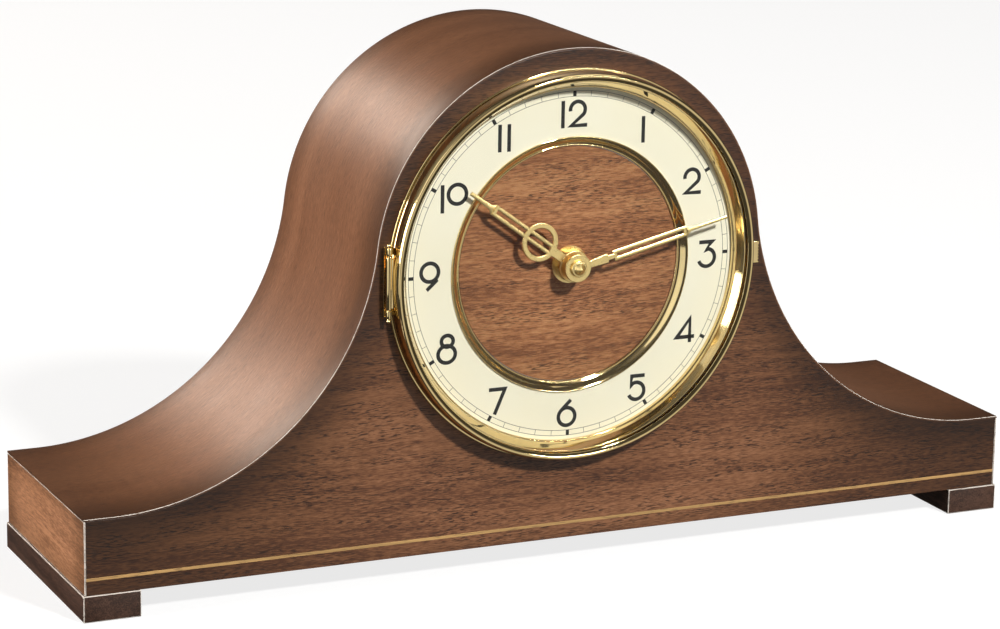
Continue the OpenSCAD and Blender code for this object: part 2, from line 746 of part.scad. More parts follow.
// Lead from the movement to the loudspeaker: hand-chosen points, smoothed
lead_r = 0.9;
lead_z = dial_z - 26;
lead_points = [[38, 22, lead_z], [42, 22, lead_z], [47, 24, lead_z - 3], [50, 28, lead_z - 11], [52, 34, lead_z - 25],
               [54, 40, lead_z - 39], [58, 46, lead_z - 51], [66, 50, 44], [78, 52, 39.5], [90, 53, 38],
               [100, 54, 38.8], [106, 54, 39.4], [111, 54, 39.4]];
function smoothed(p) = concat([p[0]],
    [for (i = [0:len(p) - 2], k = [0, 1]) k == 0 ? p[i] * 0.75 + p[i + 1] * 0.25 : p[i] * 0.25 + p[i + 1] * 0.75],
    [p[len(p) - 1]]);
function unit(v) = v / norm(v);
module tube(path, r, sides = 8) {
    n = len(path);
    rings = [for (i = [0:n - 1])
        let (t = unit(path[min(i + 1, n - 1)] - path[max(i - 1, 0)]),
             u = unit(cross(t, [0.1, 1, 0.2])),
             v = cross(t, u))
        for (k = [0:sides - 1]) path[i] + r * (cos(360 * k / sides) * u + sin(360 * k / sides) * v)];
    polyhedron(points = rings, faces = concat(
        [[for (k = [0:sides - 1]) k]],
        [[for (k = [sides - 1:-1:0]) (n - 1) * sides + k]],
        [for (i = [0:n - 2], k = [0:sides - 1])
            [i * sides + k, (i + 1) * sides + k, (i + 1) * sides + (k + 1) % sides, i * sides + (k + 1) % sides]]));
}
module speaker_lead() color("#8a2f2a") placed() tube(smoothed(lead_points), lead_r);

// Rear door ------------------------------------------------------------

module rear_door() color(walnut_dark) placed() difference() {
    slab(back_front, case_d) translate([0, rear_mid_z]) rounded_rect(rear_w, rear_h, 7.5);
    rod_y([rear_w / 2 - 12, rear_mid_z], 2 + running, back_front - 1, case_d + 1);
}

module rear_door_knob() color(brass) placed() translate([rear_w / 2 - 12, 0, rear_mid_z]) {
    turned([[0, back_front - 1.4], [4, back_front - 1.2], [4, back_front], [2, back_front], [2, case_d],
            [4.5, case_d + 0.02], [4, case_d + 2.4], [6.5, case_d + 5], [5.8, case_d + knob_out - 0.8],
            [3.5, case_d + knob_out], [0, case_d + knob_out]]);
}

leaf_h = 22;
module rear_leaf(z, side) {
    x = rear_hinge_x;
    far = x + side * 13;
    block([min(x + side * 0.6, far), case_d + 0.02, z - leaf_h / 2],
          [max(x + side * 0.6, far), case_d + 0.02 + leaf_t, z + leaf_h / 2]);
}

knuckle_h = 7;
module rear_frame_leaves() color(brass) placed() for (z = rear_hinge_zs) difference() {
    union() {
        rear_leaf(z, -1);
        for (low = [z - leaf_h / 2, z + leaf_h / 2 - knuckle_h])
            translate([rear_hinge_x, rear_hinge_y, low]) cylinder(r = rear_knuckle_r, h = knuckle_h);
    }
    translate([rear_hinge_x, rear_hinge_y, z - 20]) cylinder(r = rear_pin_r + 0.02, h = 40);
    translate([0, 0, z - leaf_h / 2 + knuckle_h]) block([rear_hinge_x - 2, case_d - 1, 0],
        [rear_hinge_x + 2, case_d + 4, leaf_h - 2 * knuckle_h]);
}

module rear_door_leaves() color(brass) placed() for (z = rear_hinge_zs) {
    mid_h = leaf_h - 2 * knuckle_h - 0.6;
    difference() {
        union() {
            difference() {
                rear_leaf(z, 1);
                block([rear_hinge_x - 1, case_d - 1, z - leaf_h], [rear_hinge_x + 1.9, case_d + 3, z + leaf_h]);
            }
            block([rear_hinge_x, case_d + 0.1, z - mid_h / 2],
                  [rear_hinge_x + 2, case_d + 0.1 + leaf_t - 0.08, z + mid_h / 2]);
            translate([rear_hinge_x, rear_hinge_y, z - mid_h / 2]) cylinder(r = rear_knuckle_r, h = mid_h);
        }
        translate([rear_hinge_x, rear_hinge_y, z - 20]) cylinder(r = rear_pin_r + running, h = 40);
    }
}

module rear_hinge_pins() color(brass) placed() for (z = rear_hinge_zs)
    translate([rear_hinge_x, rear_hinge_y, z - leaf_h / 2 - 0.3]) cylinder(r = rear_pin_r, h = leaf_h + 0.6);

front_board();
front_veneer();
inlay_strip();
top_skin();
top_veneer();
end_panel_left();
end_panel_right();
end_veneers();
back_board();
base_board();
foot_left();
foot_right();
foot_screws();
glue_blocks();
base_ring();
hinge_knuckles();
hinge_pin();
wood_screws();
chapter_ring();
centre_ring();
centre_disc();
dial_plate();
dial_clips();
bezel_ring();
glass_retainer();
dome_glass();
door_knuckle();
lift_tab();
minute_hand();
hand_nut();
minute_arbor();
hour_hand();
hour_wheel();
minute_wheel();
third_wheel();
fourth_wheel();
rotor();
set_knob();
movement_front_case();
movement_rear_case();
movement_screws();
train_plate();
fixing_washer();
fixing_nut();
circuit_board();
stator();
coil();
battery();
battery_contacts();
battery_cover();
melody_switch();
speaker_basket();
speaker_cone();
speaker_magnet();
speaker_lead();
rear_door();
rear_door_knob();
rear_frame_leaves();
rear_door_leaves();
rear_hinge_pins();
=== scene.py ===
import json
import math

import bmesh
import bpy
from mathutils import Matrix, Vector
from mathutils.geometry import tessellate_polygon


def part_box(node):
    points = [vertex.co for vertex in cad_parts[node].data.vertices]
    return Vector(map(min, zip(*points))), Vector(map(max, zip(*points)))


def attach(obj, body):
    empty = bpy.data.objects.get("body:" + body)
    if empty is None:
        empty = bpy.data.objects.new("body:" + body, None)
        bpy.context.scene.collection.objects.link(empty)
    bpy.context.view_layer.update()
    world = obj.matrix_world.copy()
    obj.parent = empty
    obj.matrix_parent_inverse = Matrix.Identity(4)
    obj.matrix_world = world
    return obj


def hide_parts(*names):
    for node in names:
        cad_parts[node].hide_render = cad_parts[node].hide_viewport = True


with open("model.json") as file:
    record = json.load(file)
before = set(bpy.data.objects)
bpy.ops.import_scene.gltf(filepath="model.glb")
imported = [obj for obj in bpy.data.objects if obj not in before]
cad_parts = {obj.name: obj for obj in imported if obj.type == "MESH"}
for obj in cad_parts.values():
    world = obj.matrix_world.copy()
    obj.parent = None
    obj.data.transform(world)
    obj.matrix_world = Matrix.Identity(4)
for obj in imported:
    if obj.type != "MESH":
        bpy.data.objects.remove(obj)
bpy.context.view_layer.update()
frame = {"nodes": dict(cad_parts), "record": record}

# Sizes are in millimetres in "local" axes: x to the right, y from the front face of the case
# towards the back, z up from the table. at() turns them into metres in the CAD frame.
# The outline is flat shoulders, two hollow coves and the round hump between them. EDGE is the
# rounding of the top veneer's arrises.
MM = 0.001
FRONT_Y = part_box("front_veneer")[0].y
DIAL_Z = (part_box("chapter_ring")[0].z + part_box("chapter_ring")[1].z) / 2 / MM
HALF_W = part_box("top_veneer")[1].x / MM
CASE_D = (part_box("top_veneer")[1].y - FRONT_Y) / MM
BODY_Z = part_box("front_veneer")[0].z / MM
SHOULDER_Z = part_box("top_veneer")[0].z / MM + 0.8
VENEER = 0.8
HUMP_Z = 134.4
HUMP_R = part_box("top_veneer")[1].z / MM - HUMP_Z
COVE_R = 114.6
COVE_Z = SHOULDER_Z + COVE_R
COVE_X = math.sqrt((HUMP_R + COVE_R) ** 2 - (COVE_Z - HUMP_Z) ** 2)
EDGE = 0.22
INLAY_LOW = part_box("inlay_strip")[0].z / MM
INLAY_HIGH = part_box("inlay_strip")[1].z / MM


def at(x, y, z):
    return Vector((x * MM, FRONT_Y + y * MM, z * MM))


def on_dial(x, y, z):
    return at(x, y, z + DIAL_Z)


def clock_dir(degrees):
    """Unit (x, z) of a direction clockwise from twelve."""
    a = math.radians(degrees)
    return math.sin(a), math.cos(a)


# Materials ---------------------------------------------------------------


class Graph:
    """Short-hand for building the node tree of a material or of the world."""

    def __init__(self, owner, output):
        owner.use_nodes = True
        self.tree = owner.node_tree
        self.tree.nodes.clear()
        self.out = self.node(output)

    def put(self, socket, value):
        if isinstance(value, bpy.types.NodeSocket):
            self.tree.links.new(value, socket)
        else:
            socket.default_value = value

    def node(self, kind, inputs=(), **props):
        n = self.tree.nodes.new(kind)
        for key, value in props.items():
            setattr(n, key, value)
        for key, value in dict(inputs).items():
            self.put(n.inputs[key], value)
        return n

    def math(self, op, a, b=0.0):
        return self.node("ShaderNodeMath", {0: a, 1: b}, operation=op).outputs[0]

    def times(self, a, b):
        return self.math("MULTIPLY", a, b)

    def minus(self, a, b):
        return self.math("SUBTRACT", a, b)

    def length(self, x, z):
        vector = self.vector(x, 0.0, z)
        return self.node("ShaderNodeVectorMath", {0: vector}, operation="LENGTH").outputs["Value"]

    def mix(self, fac, a, b, blend="MIX"):
        a, b = (c if isinstance(c, bpy.types.NodeSocket) else (*c, 1) for c in (a, b))
        inputs = {0: fac, 6: a, 7: b}
        return self.node("ShaderNodeMix", inputs, data_type="RGBA", blend_type=blend).outputs[2]

    def choose(self, test, no, yes):
        return self.node("ShaderNodeMix", {0: test, 2: no, 3: yes}).outputs[0]

    def fit(self, value, low, high, to_low=0.0, to_high=1.0, smooth=True):
        inputs = dict(enumerate((value, low, high, to_low, to_high)))
        kind = "SMOOTHSTEP" if smooth else "LINEAR"
        return self.node("ShaderNodeMapRange", inputs, interpolation_type=kind).outputs[0]

    def vector(self, x, y, z):
        return self.node("ShaderNodeCombineXYZ", {"X": x, "Y": y, "Z": z}).outputs[0]

    def split(self, vector):
        return self.node("ShaderNodeSeparateXYZ", {"Vector": vector}).outputs

    def position(self):
        return self.node("ShaderNodeTexCoord").outputs["Object"]

    def scaled(self, xyz, scales):
        return self.vector(*(self.times(c, s) for c, s in zip(xyz, scales)))

    def noise(self, xyz, scales, detail=2.0, rough=0.5):
        """Noise with scales[i] features to the metre along each axis."""
        inputs = {"Vector": self.scaled(xyz, scales), "Scale": 1.0,
                  "Detail": detail, "Roughness": rough}
        return self.node("ShaderNodeTexNoise", inputs).outputs["Fac"]

    def bump(self, height, depth, strength):
        inputs = {"Height": height, "Distance": depth, "Strength": strength}
        return self.node("ShaderNodeBump", inputs).outputs[0]

    def finish(self, shader):
        self.put(self.out.inputs[0], shader.outputs[0])

    def principled(self, inputs):
        self.finish(self.node("ShaderNodeBsdfPrincipled", inputs))


M = {}


def material(name):
    """Starts a material that M keeps by its name."""
    M[name] = bpy.data.materials.new(name)
    return Graph(M[name], "ShaderNodeOutputMaterial")


def grain_axes(g, source):
    """(along, across, through) sockets in metres. source is "grain", a stored attribute, or
    three letters that say which object axes they are."""
    if source == "grain":
        return g.split(g.node("ShaderNodeAttribute", attribute_name="grain").outputs["Vector"])
    xyz = g.split(g.position())
    return [xyz["xyz".index(letter)] for letter in source]


def walnut(name, tones, source, seed=0.0, shade=None, coat=0.12, rough=0.42,
           pores=1.0, figure=1.0, fleck=1.0, streak=1.0):
    """Lacquered veneer: tones are its dark, middle and light colours. shade(g) gives a factor
    that darkens the staining towards the rims, and on the face and the top also paints shade.
    The last four scale its marks."""
    g = material(name)
    dark, middle, light = tones
    along, across, through = grain_axes(g, source)
    along = g.math("ADD", along, seed)
    drift = g.noise((along, across, through), (6, 14, 14), 1.0)
    across = g.math("ADD", across, g.times(g.minus(drift, 0.5), 0.010))
    here = (along, across, through)
    flecks = g.noise(here, (250, 1900, 1900), 2.0, 0.6)
    tone = 0.0
    for marks, amount in ((g.noise(here, (5, 70, 60), 3.0, 0.6), 0.62 * figure),
                          (g.noise(here, (38, 620, 400), 3.0, 0.6), 0.55 * streak),
                          (flecks, 0.85 * fleck)):
        tone = g.math("ADD", tone, g.times(g.minus(marks, 0.5), amount))
    colour = g.mix(g.fit(tone, -0.13, 0.02), dark, middle)
    colour = g.mix(g.fit(tone, 0.0, 0.15), colour, light)
    dashes = g.noise((g.math("ADD", along, 0.7), across, through), (300, 2600, 2600), 1.0, 0.4)
    clusters = g.noise(here, (30, 200, 200))
    pore = g.times(g.fit(dashes, 0.52, 0.64), g.fit(clusters, 0.36, 0.6))
    colour = g.mix(g.times(pore, 0.55 * pores), colour, tuple(c * 0.35 for c in dark))
    # The shade factor holds staining and, on the face and top, painted shade.
    if shade is not None:
        colour = g.mix(1.0, colour, stain_and_shade(g, shade(g)), "MULTIPLY")
    fibre = g.math("ADD", g.times(flecks, 0.4), g.times(pore, -0.6))
    smear = g.noise(here, (30, 30, 30), 3.0)
    g.principled({
        "Base Color": colour,
        "Roughness": g.fit(smear, 0.3, 0.7, rough - 0.04, rough + 0.05, smooth=False),
        "Coat Weight": coat,
        "Coat Roughness": 0.3,
        "Coat IOR": 1.45,
        "Specular IOR Level": 0.34,
        "Normal": g.bump(fibre, 0.00012, 0.3),
    })


def stain_and_shade(g, level):
    """A multiplier that darkens and cools a little as level falls from 1: staining, and painted
    shade where the level holds it.
    """
    return g.vector(level, g.math("POWER", level, 1.105), g.math("POWER", level, 1.35))


def product(g, *factors):
    level = factors[0]
    for factor in factors[1:]:
        level = g.times(level, factor)
    return level


def face_shade(g):
    """Sunburst staining on the front: darker along the outline and towards the two ends.
    Darker also in a ring round the bezel: that is painted shade, for the bezel's shadow on the
    face."""
    x, _, z = g.split(g.position())
    x = g.math("ABSOLUTE", x)
    up = g.minus(z, HUMP_Z * MM)
    from_hump = g.minus(HUMP_R * MM, g.length(x, up))
    from_cove = g.minus(g.length(g.minus(x, COVE_X * MM), g.minus(z, COVE_Z * MM)), COVE_R * MM)
    above = g.math("GREATER_THAN", up, g.times(x, (COVE_Z - HUMP_Z) / COVE_X))
    outer = g.math("GREATER_THAN", x, COVE_X * MM)
    top = g.choose(above, from_cove, from_hump)
    top = g.choose(outer, top, g.minus(SHOULDER_Z * MM, z))
    dial = g.length(x, g.minus(z, DIAL_Z * MM))
    low = g.minus(z, BODY_Z * MM)
    # Painted shade: the last factor darkens a ring round the bezel, where its shadow falls.
    return product(g, g.fit(top, 0.0, 0.022, 0.42), g.fit(top, 0.0, 0.05, 0.75),
                   g.fit(low, 0.0, 0.012, 0.78), g.fit(x, 0.05, 0.216, 1.0, 0.38),
                   g.fit(dial, 0.086, 0.112, 0.74))


def top_shade(g):
    """Darker along the front and back edges of the bent top and on the shoulders. The darkening
    on its crown is painted shade, for the light from behind that the crown does not catch.
    """
    x, y, z = g.split(g.position())
    front = g.minus(y, FRONT_Y)
    back = g.minus(FRONT_Y + CASE_D * MM, y)
    end = g.minus(HALF_W * MM, g.math("ABSOLUTE", x))
    # Painted shade: the fit on z darkens the crown.
    return product(g, g.fit(front, 0.0, 0.030, 0.45), g.fit(z, 0.185, 0.2235, 1.0, 0.62),
                   g.fit(back, 0.0, 0.018, 0.7), g.fit(end, 0.0, 0.10, 0.48))


def end_shade(g):
    _, y, z = g.split(g.position())
    side = g.math("MINIMUM", g.minus(y, FRONT_Y), g.minus(FRONT_Y + CASE_D * MM, y))
    rim = g.math("MINIMUM", g.minus(SHOULDER_Z * MM, z), g.minus(z, BODY_Z * MM))
    return product(g, g.fit(side, 0.0, 0.022, 0.62), g.fit(rim, 0.0, 0.010, 0.72))


def disc_shade(g):
    x, _, z = g.split(g.position())
    return g.fit(g.length(x, g.minus(z, DIAL_Z * MM)), 0.02, 0.052, 1.0, 0.82)


def metal(name, colour, rough, spread=0.12, scratch=0.0, stretch=(900, 900, 900), coat=0.0):
    """Metal with faint tarnish clouds and fine polishing or drawing marks."""
    g = material(name)
    xyz = g.split(g.position())
    cloud = g.noise(xyz, (60, 60, 60), 3.0)
    marks = g.noise(xyz, stretch)
    dull = tuple(c * (1 - spread) for c in colour)
    g.principled({
        "Base Color": g.mix(g.fit(cloud, 0.3, 0.7), colour, dull),
        "Metallic": 1.0,
        "Roughness": g.fit(marks, 0.3, 0.7, rough * 0.75, rough * 1.35, smooth=False),
        "Coat Weight": coat,
        "Coat Roughness": 0.05,
        "Normal": g.bump(marks, 0.00002, scratch),
    })


def moulded(name, colour, rough=0.45, texture=0.25, scale=1800, sheen=0.0):
    """Moulded plastic, paint, card or paper with a fine surface grain."""
    g = material(name)
    xyz = g.split(g.position())
    fine = g.noise(xyz, (scale, scale, scale))
    cloud = g.noise(xyz, (45, 45, 45), 3.0)
    lift = tuple(min(1.0, c * 1.12 + 0.004) for c in colour)
    g.principled({
        "Base Color": g.mix(g.fit(cloud, 0.3, 0.7), colour, lift),
        "Roughness": g.fit(fine, 0.3, 0.7, rough - 0.06, rough + 0.08, smooth=False),
        "Sheen Weight": sheen,
        "Normal": g.bump(fine, 0.00004, texture),
    })


def bare_wood(name, colour, source):
    g = material(name)
    here = grain_axes(g, source)
    streaks = g.noise(here, (12, 320, 320), 4.0, 0.6)
    pore = g.fit(g.noise(here, (180, 1900, 1900), 1.0), 0.56, 0.68)
    dark, light = (tuple(c * k for c in colour) for k in (0.72, 1.1))
    colour = g.mix(g.fit(streaks, 0.3, 0.7), dark, light)
    colour = g.mix(g.times(pore, 0.5), colour, (0.12, 0.07, 0.03))
    g.principled({
        "Base Color": colour,
        "Roughness": g.fit(streaks, 0.3, 0.7, 0.66, 0.8, smooth=False),
        "Normal": g.bump(streaks, 0.0001, 0.4),
    })


def board_green(name):
    """Solder mask with copper tracks running under it."""
    g = material(name)
    x, y, z = g.split(g.position())
    track = g.node("ShaderNodeTexBrick", {
        "Vector": g.scaled((x, z, y), (420, 420, 0)), "Scale": 1.0, "Mortar Size": 0.06,
        "Color1": (0.02, 0.11, 0.045, 1), "Color2": (0.025, 0.13, 0.05, 1),
        "Mortar": (0.05, 0.24, 0.09, 1),
    })
    g.principled({
        "Base Color": track.outputs["Color"],
        "Roughness": 0.3,
        "Normal": g.bump(track.outputs["Fac"], 0.00003, 0.6),
    })


def winding(name):
    """Turns of enamelled wire round the coil's upright axis."""
    g = material(name)
    height = g.vector(0.0, 0.0, g.split(g.position())[2])
    turns = g.node("ShaderNodeTexWave", {"Vector": height, "Scale": 900.0, "Distortion": 0.3},
                   bands_direction="Z").outputs["Fac"]
    g.principled({
        "Base Color": g.mix(turns, (0.25, 0.09, 0.03), (0.72, 0.33, 0.14)),
        "Metallic": 0.85,
        "Roughness": 0.3,
        "Normal": g.bump(turns, 0.00006, 0.8),
    })


def clear_glass(name):
    """Thin clear glass: what is behind it shows through, and it mirrors by angle."""
    g = material(name)
    haze = g.noise(g.split(g.position()), (35, 35, 35))
    rough = g.fit(haze, 0.3, 0.7, 0.012, 0.03, smooth=False)
    mirror = g.node("ShaderNodeBsdfGlossy", {"Color": (1, 1, 1, 1), "Roughness": rough})
    see = g.node("ShaderNodeBsdfTransparent", {"Color": (0.985, 0.99, 0.985, 1)})
    # Both faces of the thin wall mirror together, as seen from its outer side
    fresnel = g.node("ShaderNodeFresnel", {"IOR": 1.22})
    inner = g.node("ShaderNodeNewGeometry").outputs["Backfacing"]
    share = g.times(fresnel.outputs[0], g.minus(1.0, inner))
    both = g.node("ShaderNodeMixShader", {0: share, 1: see.outputs[0], 2: mirror.outputs[0]})
    g.finish(both)


def enamel(name, colour):
    """Cream dial enamel, a little mottled, with a soft gloss."""
    g = material(name)
    xyz = g.split(g.position())
    cloud = g.noise(xyz, (28, 28, 28), 3.0)
    speck = g.noise(xyz, (1500, 1500, 1500))
    aged = tuple(c * k for c, k in zip(colour, (0.985, 0.975, 0.95)))
    g.principled({
        "Base Color": g.mix(g.fit(cloud, 0.3, 0.7), colour, aged),
        "Roughness": g.fit(speck, 0.3, 0.7, 0.42, 0.52, smooth=False),
        "Normal": g.bump(speck, 0.00001, 0.25),
    })


FACE = ((0.116, 0.042, 0.018), (0.226, 0.094, 0.041), (0.315, 0.140, 0.067))
TOP = ((0.165, 0.066, 0.030), (0.250, 0.106, 0.050), (0.335, 0.152, 0.076))
END = ((0.260, 0.112, 0.050), (0.380, 0.170, 0.080), (0.490, 0.232, 0.116))
DISC = ((0.200, 0.072, 0.026), (0.375, 0.154, 0.062), (0.510, 0.242, 0.104))
FOOT = ((0.032, 0.014, 0.008), (0.062, 0.028, 0.017), (0.095, 0.046, 0.029))
BRASS = (0.86, 0.66, 0.32)

walnut("face_walnut", FACE, "xzy", shade=face_shade, pores=1.7, figure=0.8, fleck=0.75, streak=0.6)
walnut("top_walnut", TOP, "grain", seed=3.1, shade=top_shade, coat=0.25,
       pores=0.35, figure=0.35, fleck=0.7, streak=0.3)
walnut("end_walnut", END, "yzx", seed=1.7, shade=end_shade, pores=0.6, coat=0.05, rough=0.5)
walnut("foot_walnut", FOOT, "yzx", seed=5.3, pores=0.6)
walnut("disc_walnut", DISC, "xzy", seed=7.9, shade=disc_shade, coat=0.0, rough=0.5,
       pores=1.7, figure=0.8, fleck=0.75, streak=0.6)
walnut("back_walnut", FACE, "xzy", seed=9.2, coat=0.05, rough=0.5)
# Pale colour on the rounded arrises: part wear of the lacquer, part painted highlight of light
# along the edges.
bare_wood("edge_wear_and_highlight", (0.66, 0.60, 0.54), "xzy")
bare_wood("inlay_maple", (0.56, 0.33, 0.12), "xzy")
bare_wood("bare_wood", (0.52, 0.36, 0.20), "xyz")
metal("polished_brass", BRASS, 0.07, coat=0.3)
metal("hand_brass", (0.96, 0.73, 0.32), 0.33, spread=0.06, scratch=0.2)
metal("hardware_brass", (0.74, 0.55, 0.26), 0.28, scratch=0.3)
enamel("dial_cream", (0.880, 0.840, 0.680))
moulded("dial_ink", (0.004, 0.004, 0.003), 0.75, 0.15)
moulded("track_ink", (0.10, 0.095, 0.075), 0.45, 0.15)
clear_glass("clear_glass")
metal("steel_plate", (0.62, 0.63, 0.64), 0.34, scratch=0.4, stretch=(300, 2400, 300))
moulded("dark_magnet", (0.05, 0.05, 0.055), 0.55, 0.6, 900)
moulded("white_plastic", (0.78, 0.78, 0.73), 0.42, 0.15)
moulded("black_plastic", (0.018, 0.018, 0.02), 0.42, 0.4)
moulded("grey_plastic", (0.20, 0.205, 0.215), 0.48, 0.5)
board_green("board_green")
winding("coil_wire")
moulded("battery_wrap", (0.03, 0.06, 0.15), 0.28, 0.1)
moulded("cone_paper", (0.02, 0.02, 0.02), 0.85, 0.9, 700, sheen=0.3)
moulded("lead_sleeve", (0.30, 0.03, 0.025), 0.5, 0.3)


# Mesh helpers ------------------------------------------------------------


def mesh_object(name, verts, faces, mats):
    mesh = bpy.data.meshes.new(name)
    mesh.from_pydata([tuple(v) for v in verts], [], faces)
    for m in mats:
        mesh.materials.append(m)
    obj = bpy.data.objects.new(name, mesh)
    bpy.context.scene.collection.objects.link(obj)
    return obj


def piece(name, verts, faces, index, body, slot, mats=None, grain=(), replaces=(), sharp=32):
    """A mesh object with smooth faces and sharp edges past an angle, riding on a body. index
    gives each face's material."""
    obj = mesh_object(name, verts, faces, mats or [M[slot]])
    mesh = obj.data
    mesh.polygons.foreach_set("material_index", index)
    mesh.polygons.foreach_set("use_smooth", [True] * len(mesh.polygons))
    mesh.set_sharp_from_angle(angle=math.radians(sharp))
    if grain:
        attribute = mesh.attributes.new("grain", "FLOAT_VECTOR", "POINT")
        attribute.data.foreach_set("vector", [c for v in grain for c in v])
    mesh.update()
    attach(obj, body)
    if replaces:
        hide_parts(*replaces)
    return obj


def edit_mesh(obj, *steps):
    """Runs each step on the object's mesh as a bmesh."""
    bm = bmesh.new()
    bm.from_mesh(obj.data)
    for step in steps:
        step(bm)
    bm.to_mesh(obj.data)
    bm.free()
    obj.data.update()


def outward(bm):
    """Makes the faces all look out of their shells."""
    bmesh.ops.recalc_face_normals(bm, faces=bm.faces)


def quarter(steps):
    """Points (1 - sin, 1 - cos) of a quarter turn, for rounding an arris."""
    turns = [math.pi / 2 * i / steps for i in range(steps + 1)]
    return [(1 - math.sin(t), 1 - math.cos(t)) for t in turns]


class Solid:
    """Collects vertices and faces of one or more closed shells."""

    def __init__(self):
        self.verts, self.faces, self.index, self.grain = [], [], [], []

    def face(self, ids, index=0):
        self.faces.append(tuple(ids))
        self.index.append(index)

    def rings(self, rings):
        """Quads between rings of equal count."""
        base = len(self.verts)
        n = len(rings[0])
        for ring in rings:
            self.verts.extend(ring)
        for k in range(len(rings) - 1):
            a, b = base + k * n, base + (k + 1) * n
            for i in range(n):
                j = (i + 1) % n
                self.face((a + i, a + j, b + j, b + i))
        return base

    def turn(self, profile, segments, place, closed=False):
        """Turns a profile of (radius, height) about an axis. place(u, v, height) gives the
        point that lies u and v off the axis."""
        rings = []
        for r, height in profile:
            ids = []
            for i in range(segments if r > 1e-9 else 1):
                a = 2 * math.pi * i / segments
                ids.append(len(self.verts))
                self.verts.append(place(r * math.cos(a), r * math.sin(a), height))
            rings.append(ids)
        for a, b in zip(rings, rings[1:] + rings[:1] if closed else rings[1:]):
            for i in range(segments):
                j = (i + 1) % segments
                if len(a) == 1:
                    self.face((a[0], b[j], b[i]))
                elif len(b) == 1:
                    self.face((a[i], a[j], b[0]))
                else:
                    self.face((a[i], a[j], b[j], b[i]))

    def plate(self, loops, y0, y1, ease=0.1, steps=2, back_ease=0.0, place=at):
        """A plate from y0 to y1 whose first loop of (x, z) is its outline and the rest are
        holes. Its front edges are rounded by ease, its back edges by back_ease."""
        turned = []
        for k, loop in enumerate(loops):
            area = sum(a[0] * b[1] - b[0] * a[1] for a, b in zip(loop, loop[1:] + loop[:1]))
            turned.append(loop if (area > 0) == (k == 0) else loop[::-1])
        corner = quarter(steps)
        front = [(ease * u, y0 + ease * v) for u, v in corner] if ease else [(0, y0)]
        back = [(back_ease * v, y1 - back_ease * u) for u, v in corner] if back_ease else [(0, y1)]
        profile = front + back
        first, last = [], []
        for loop in turned:
            normals = loop_normals(loop)
            base = self.rings([[place(p[0] + n[0] * d, y, p[1] + n[1] * d)
                                for p, n in zip(loop, normals)] for d, y in profile])
            n = len(loop)
            first.append([base + i for i in range(n)])
            last.append([base + (len(profile) - 1) * n + i for i in range(n)])
        for ids, flip in ((first, False), (last, True)):
            flat = [[Vector((self.verts[i].x, self.verts[i].z, 0)) for i in loop] for loop in ids]
            joined = [i for loop in ids for i in loop]
            for tri in tessellate_polygon(flat):
                a, b, c = (joined[t] for t in tri)
                pa, pb, pc = (self.verts[i] for i in (a, b, c))
                faces_front = (pb - pa).cross(pc - pa).y < 0
                self.face((a, b, c) if faces_front != flip else (a, c, b))

    def make(self, name, body, slot, **kw):
        return piece(name, self.verts, self.faces, self.index, body, slot, grain=self.grain, **kw)


def loop_normals(loop):
    """Per point, the mitred offset that lies to the left of a loop's direction."""
    out = []
    n = len(loop)
    for i in range(n):
        p, q, r = loop[i - 1], loop[i], loop[(i + 1) % n]
        a = Vector((q[0] - p[0], q[1] - p[1])).normalized()
        b = Vector((r[0] - q[0], r[1] - q[1])).normalized()
        na, nb = Vector((-a.y, a.x)), Vector((-b.y, b.x))
        m = na + nb
        m = m / max(0.25, m.dot(na)) if m.length > 1e-6 else na
        out.append((m.x, m.y))
    return out


def ellipse(x, z, rx, rz, n):
    turns = [2 * math.pi * i / n for i in range(n)]
    return [(x + rx * math.cos(a), z + rz * math.sin(a)) for a in turns]


def circle(r, n=128, x=0.0, z=0.0):
    return ellipse(x, z, r, r, n)


def rect(x0, z0, x1, z1):
    return [(x0, z0), (x1, z0), (x1, z1), (x0, z1)]


def rounded(w, h, r, x=0.0, z=0.0, n=8):
    """Rounded rectangle about (x, z)."""
    pts = []
    for cx, cz, start in ((w / 2 - r, h / 2 - r, 0), (-w / 2 + r, h / 2 - r, 90),
                          (-w / 2 + r, -h / 2 + r, 180), (w / 2 - r, -h / 2 + r, 270)):
        for i in range(n + 1):
            a = math.radians(start + 90 * i / n)
            pts.append((x + cx + r * math.cos(a), z + cz + r * math.sin(a)))
    return pts


def lathe(name, profile, body, slot, x=0.0, z=0.0, segments=256, closed=True, **kw):
    """Turns a profile of (radius, y) about the dial axis, or about an axis x and z off it."""
    s = Solid()
    s.turn(profile, segments, lambda u, v, y: on_dial(x + u, y, z + v), closed)
    edit_mesh(s.make(name, body, slot, **kw), outward)


def spindle(name, profile, x, y, z, body, slot, segments=32, extra=None, **kw):
    """Turns a profile of (radius, height) about an upright axis at local x, y and z. extra(s)
    adds what is joined to it."""
    s = Solid()
    s.turn(profile, segments, lambda u, v, height: at(x + u, y + v, z + height))
    if extra:
        extra(s)
    edit_mesh(s.make(name, body, slot, sharp=40, **kw), outward)


def arc(cr, cy, rr, ry, start, end, n):
    """Points of an ellipse arc as (radius, y): angles in degrees."""
    turns = [math.radians(start + (end - start) * i / n) for i in range(n + 1)]
    return [(cr + rr * math.cos(a), cy + ry * math.sin(a)) for a in turns]


# Case --------------------------------------------------------------------


FLAT_STEPS, COVE_STEPS, HUMP_STEPS = 8, 64, 72


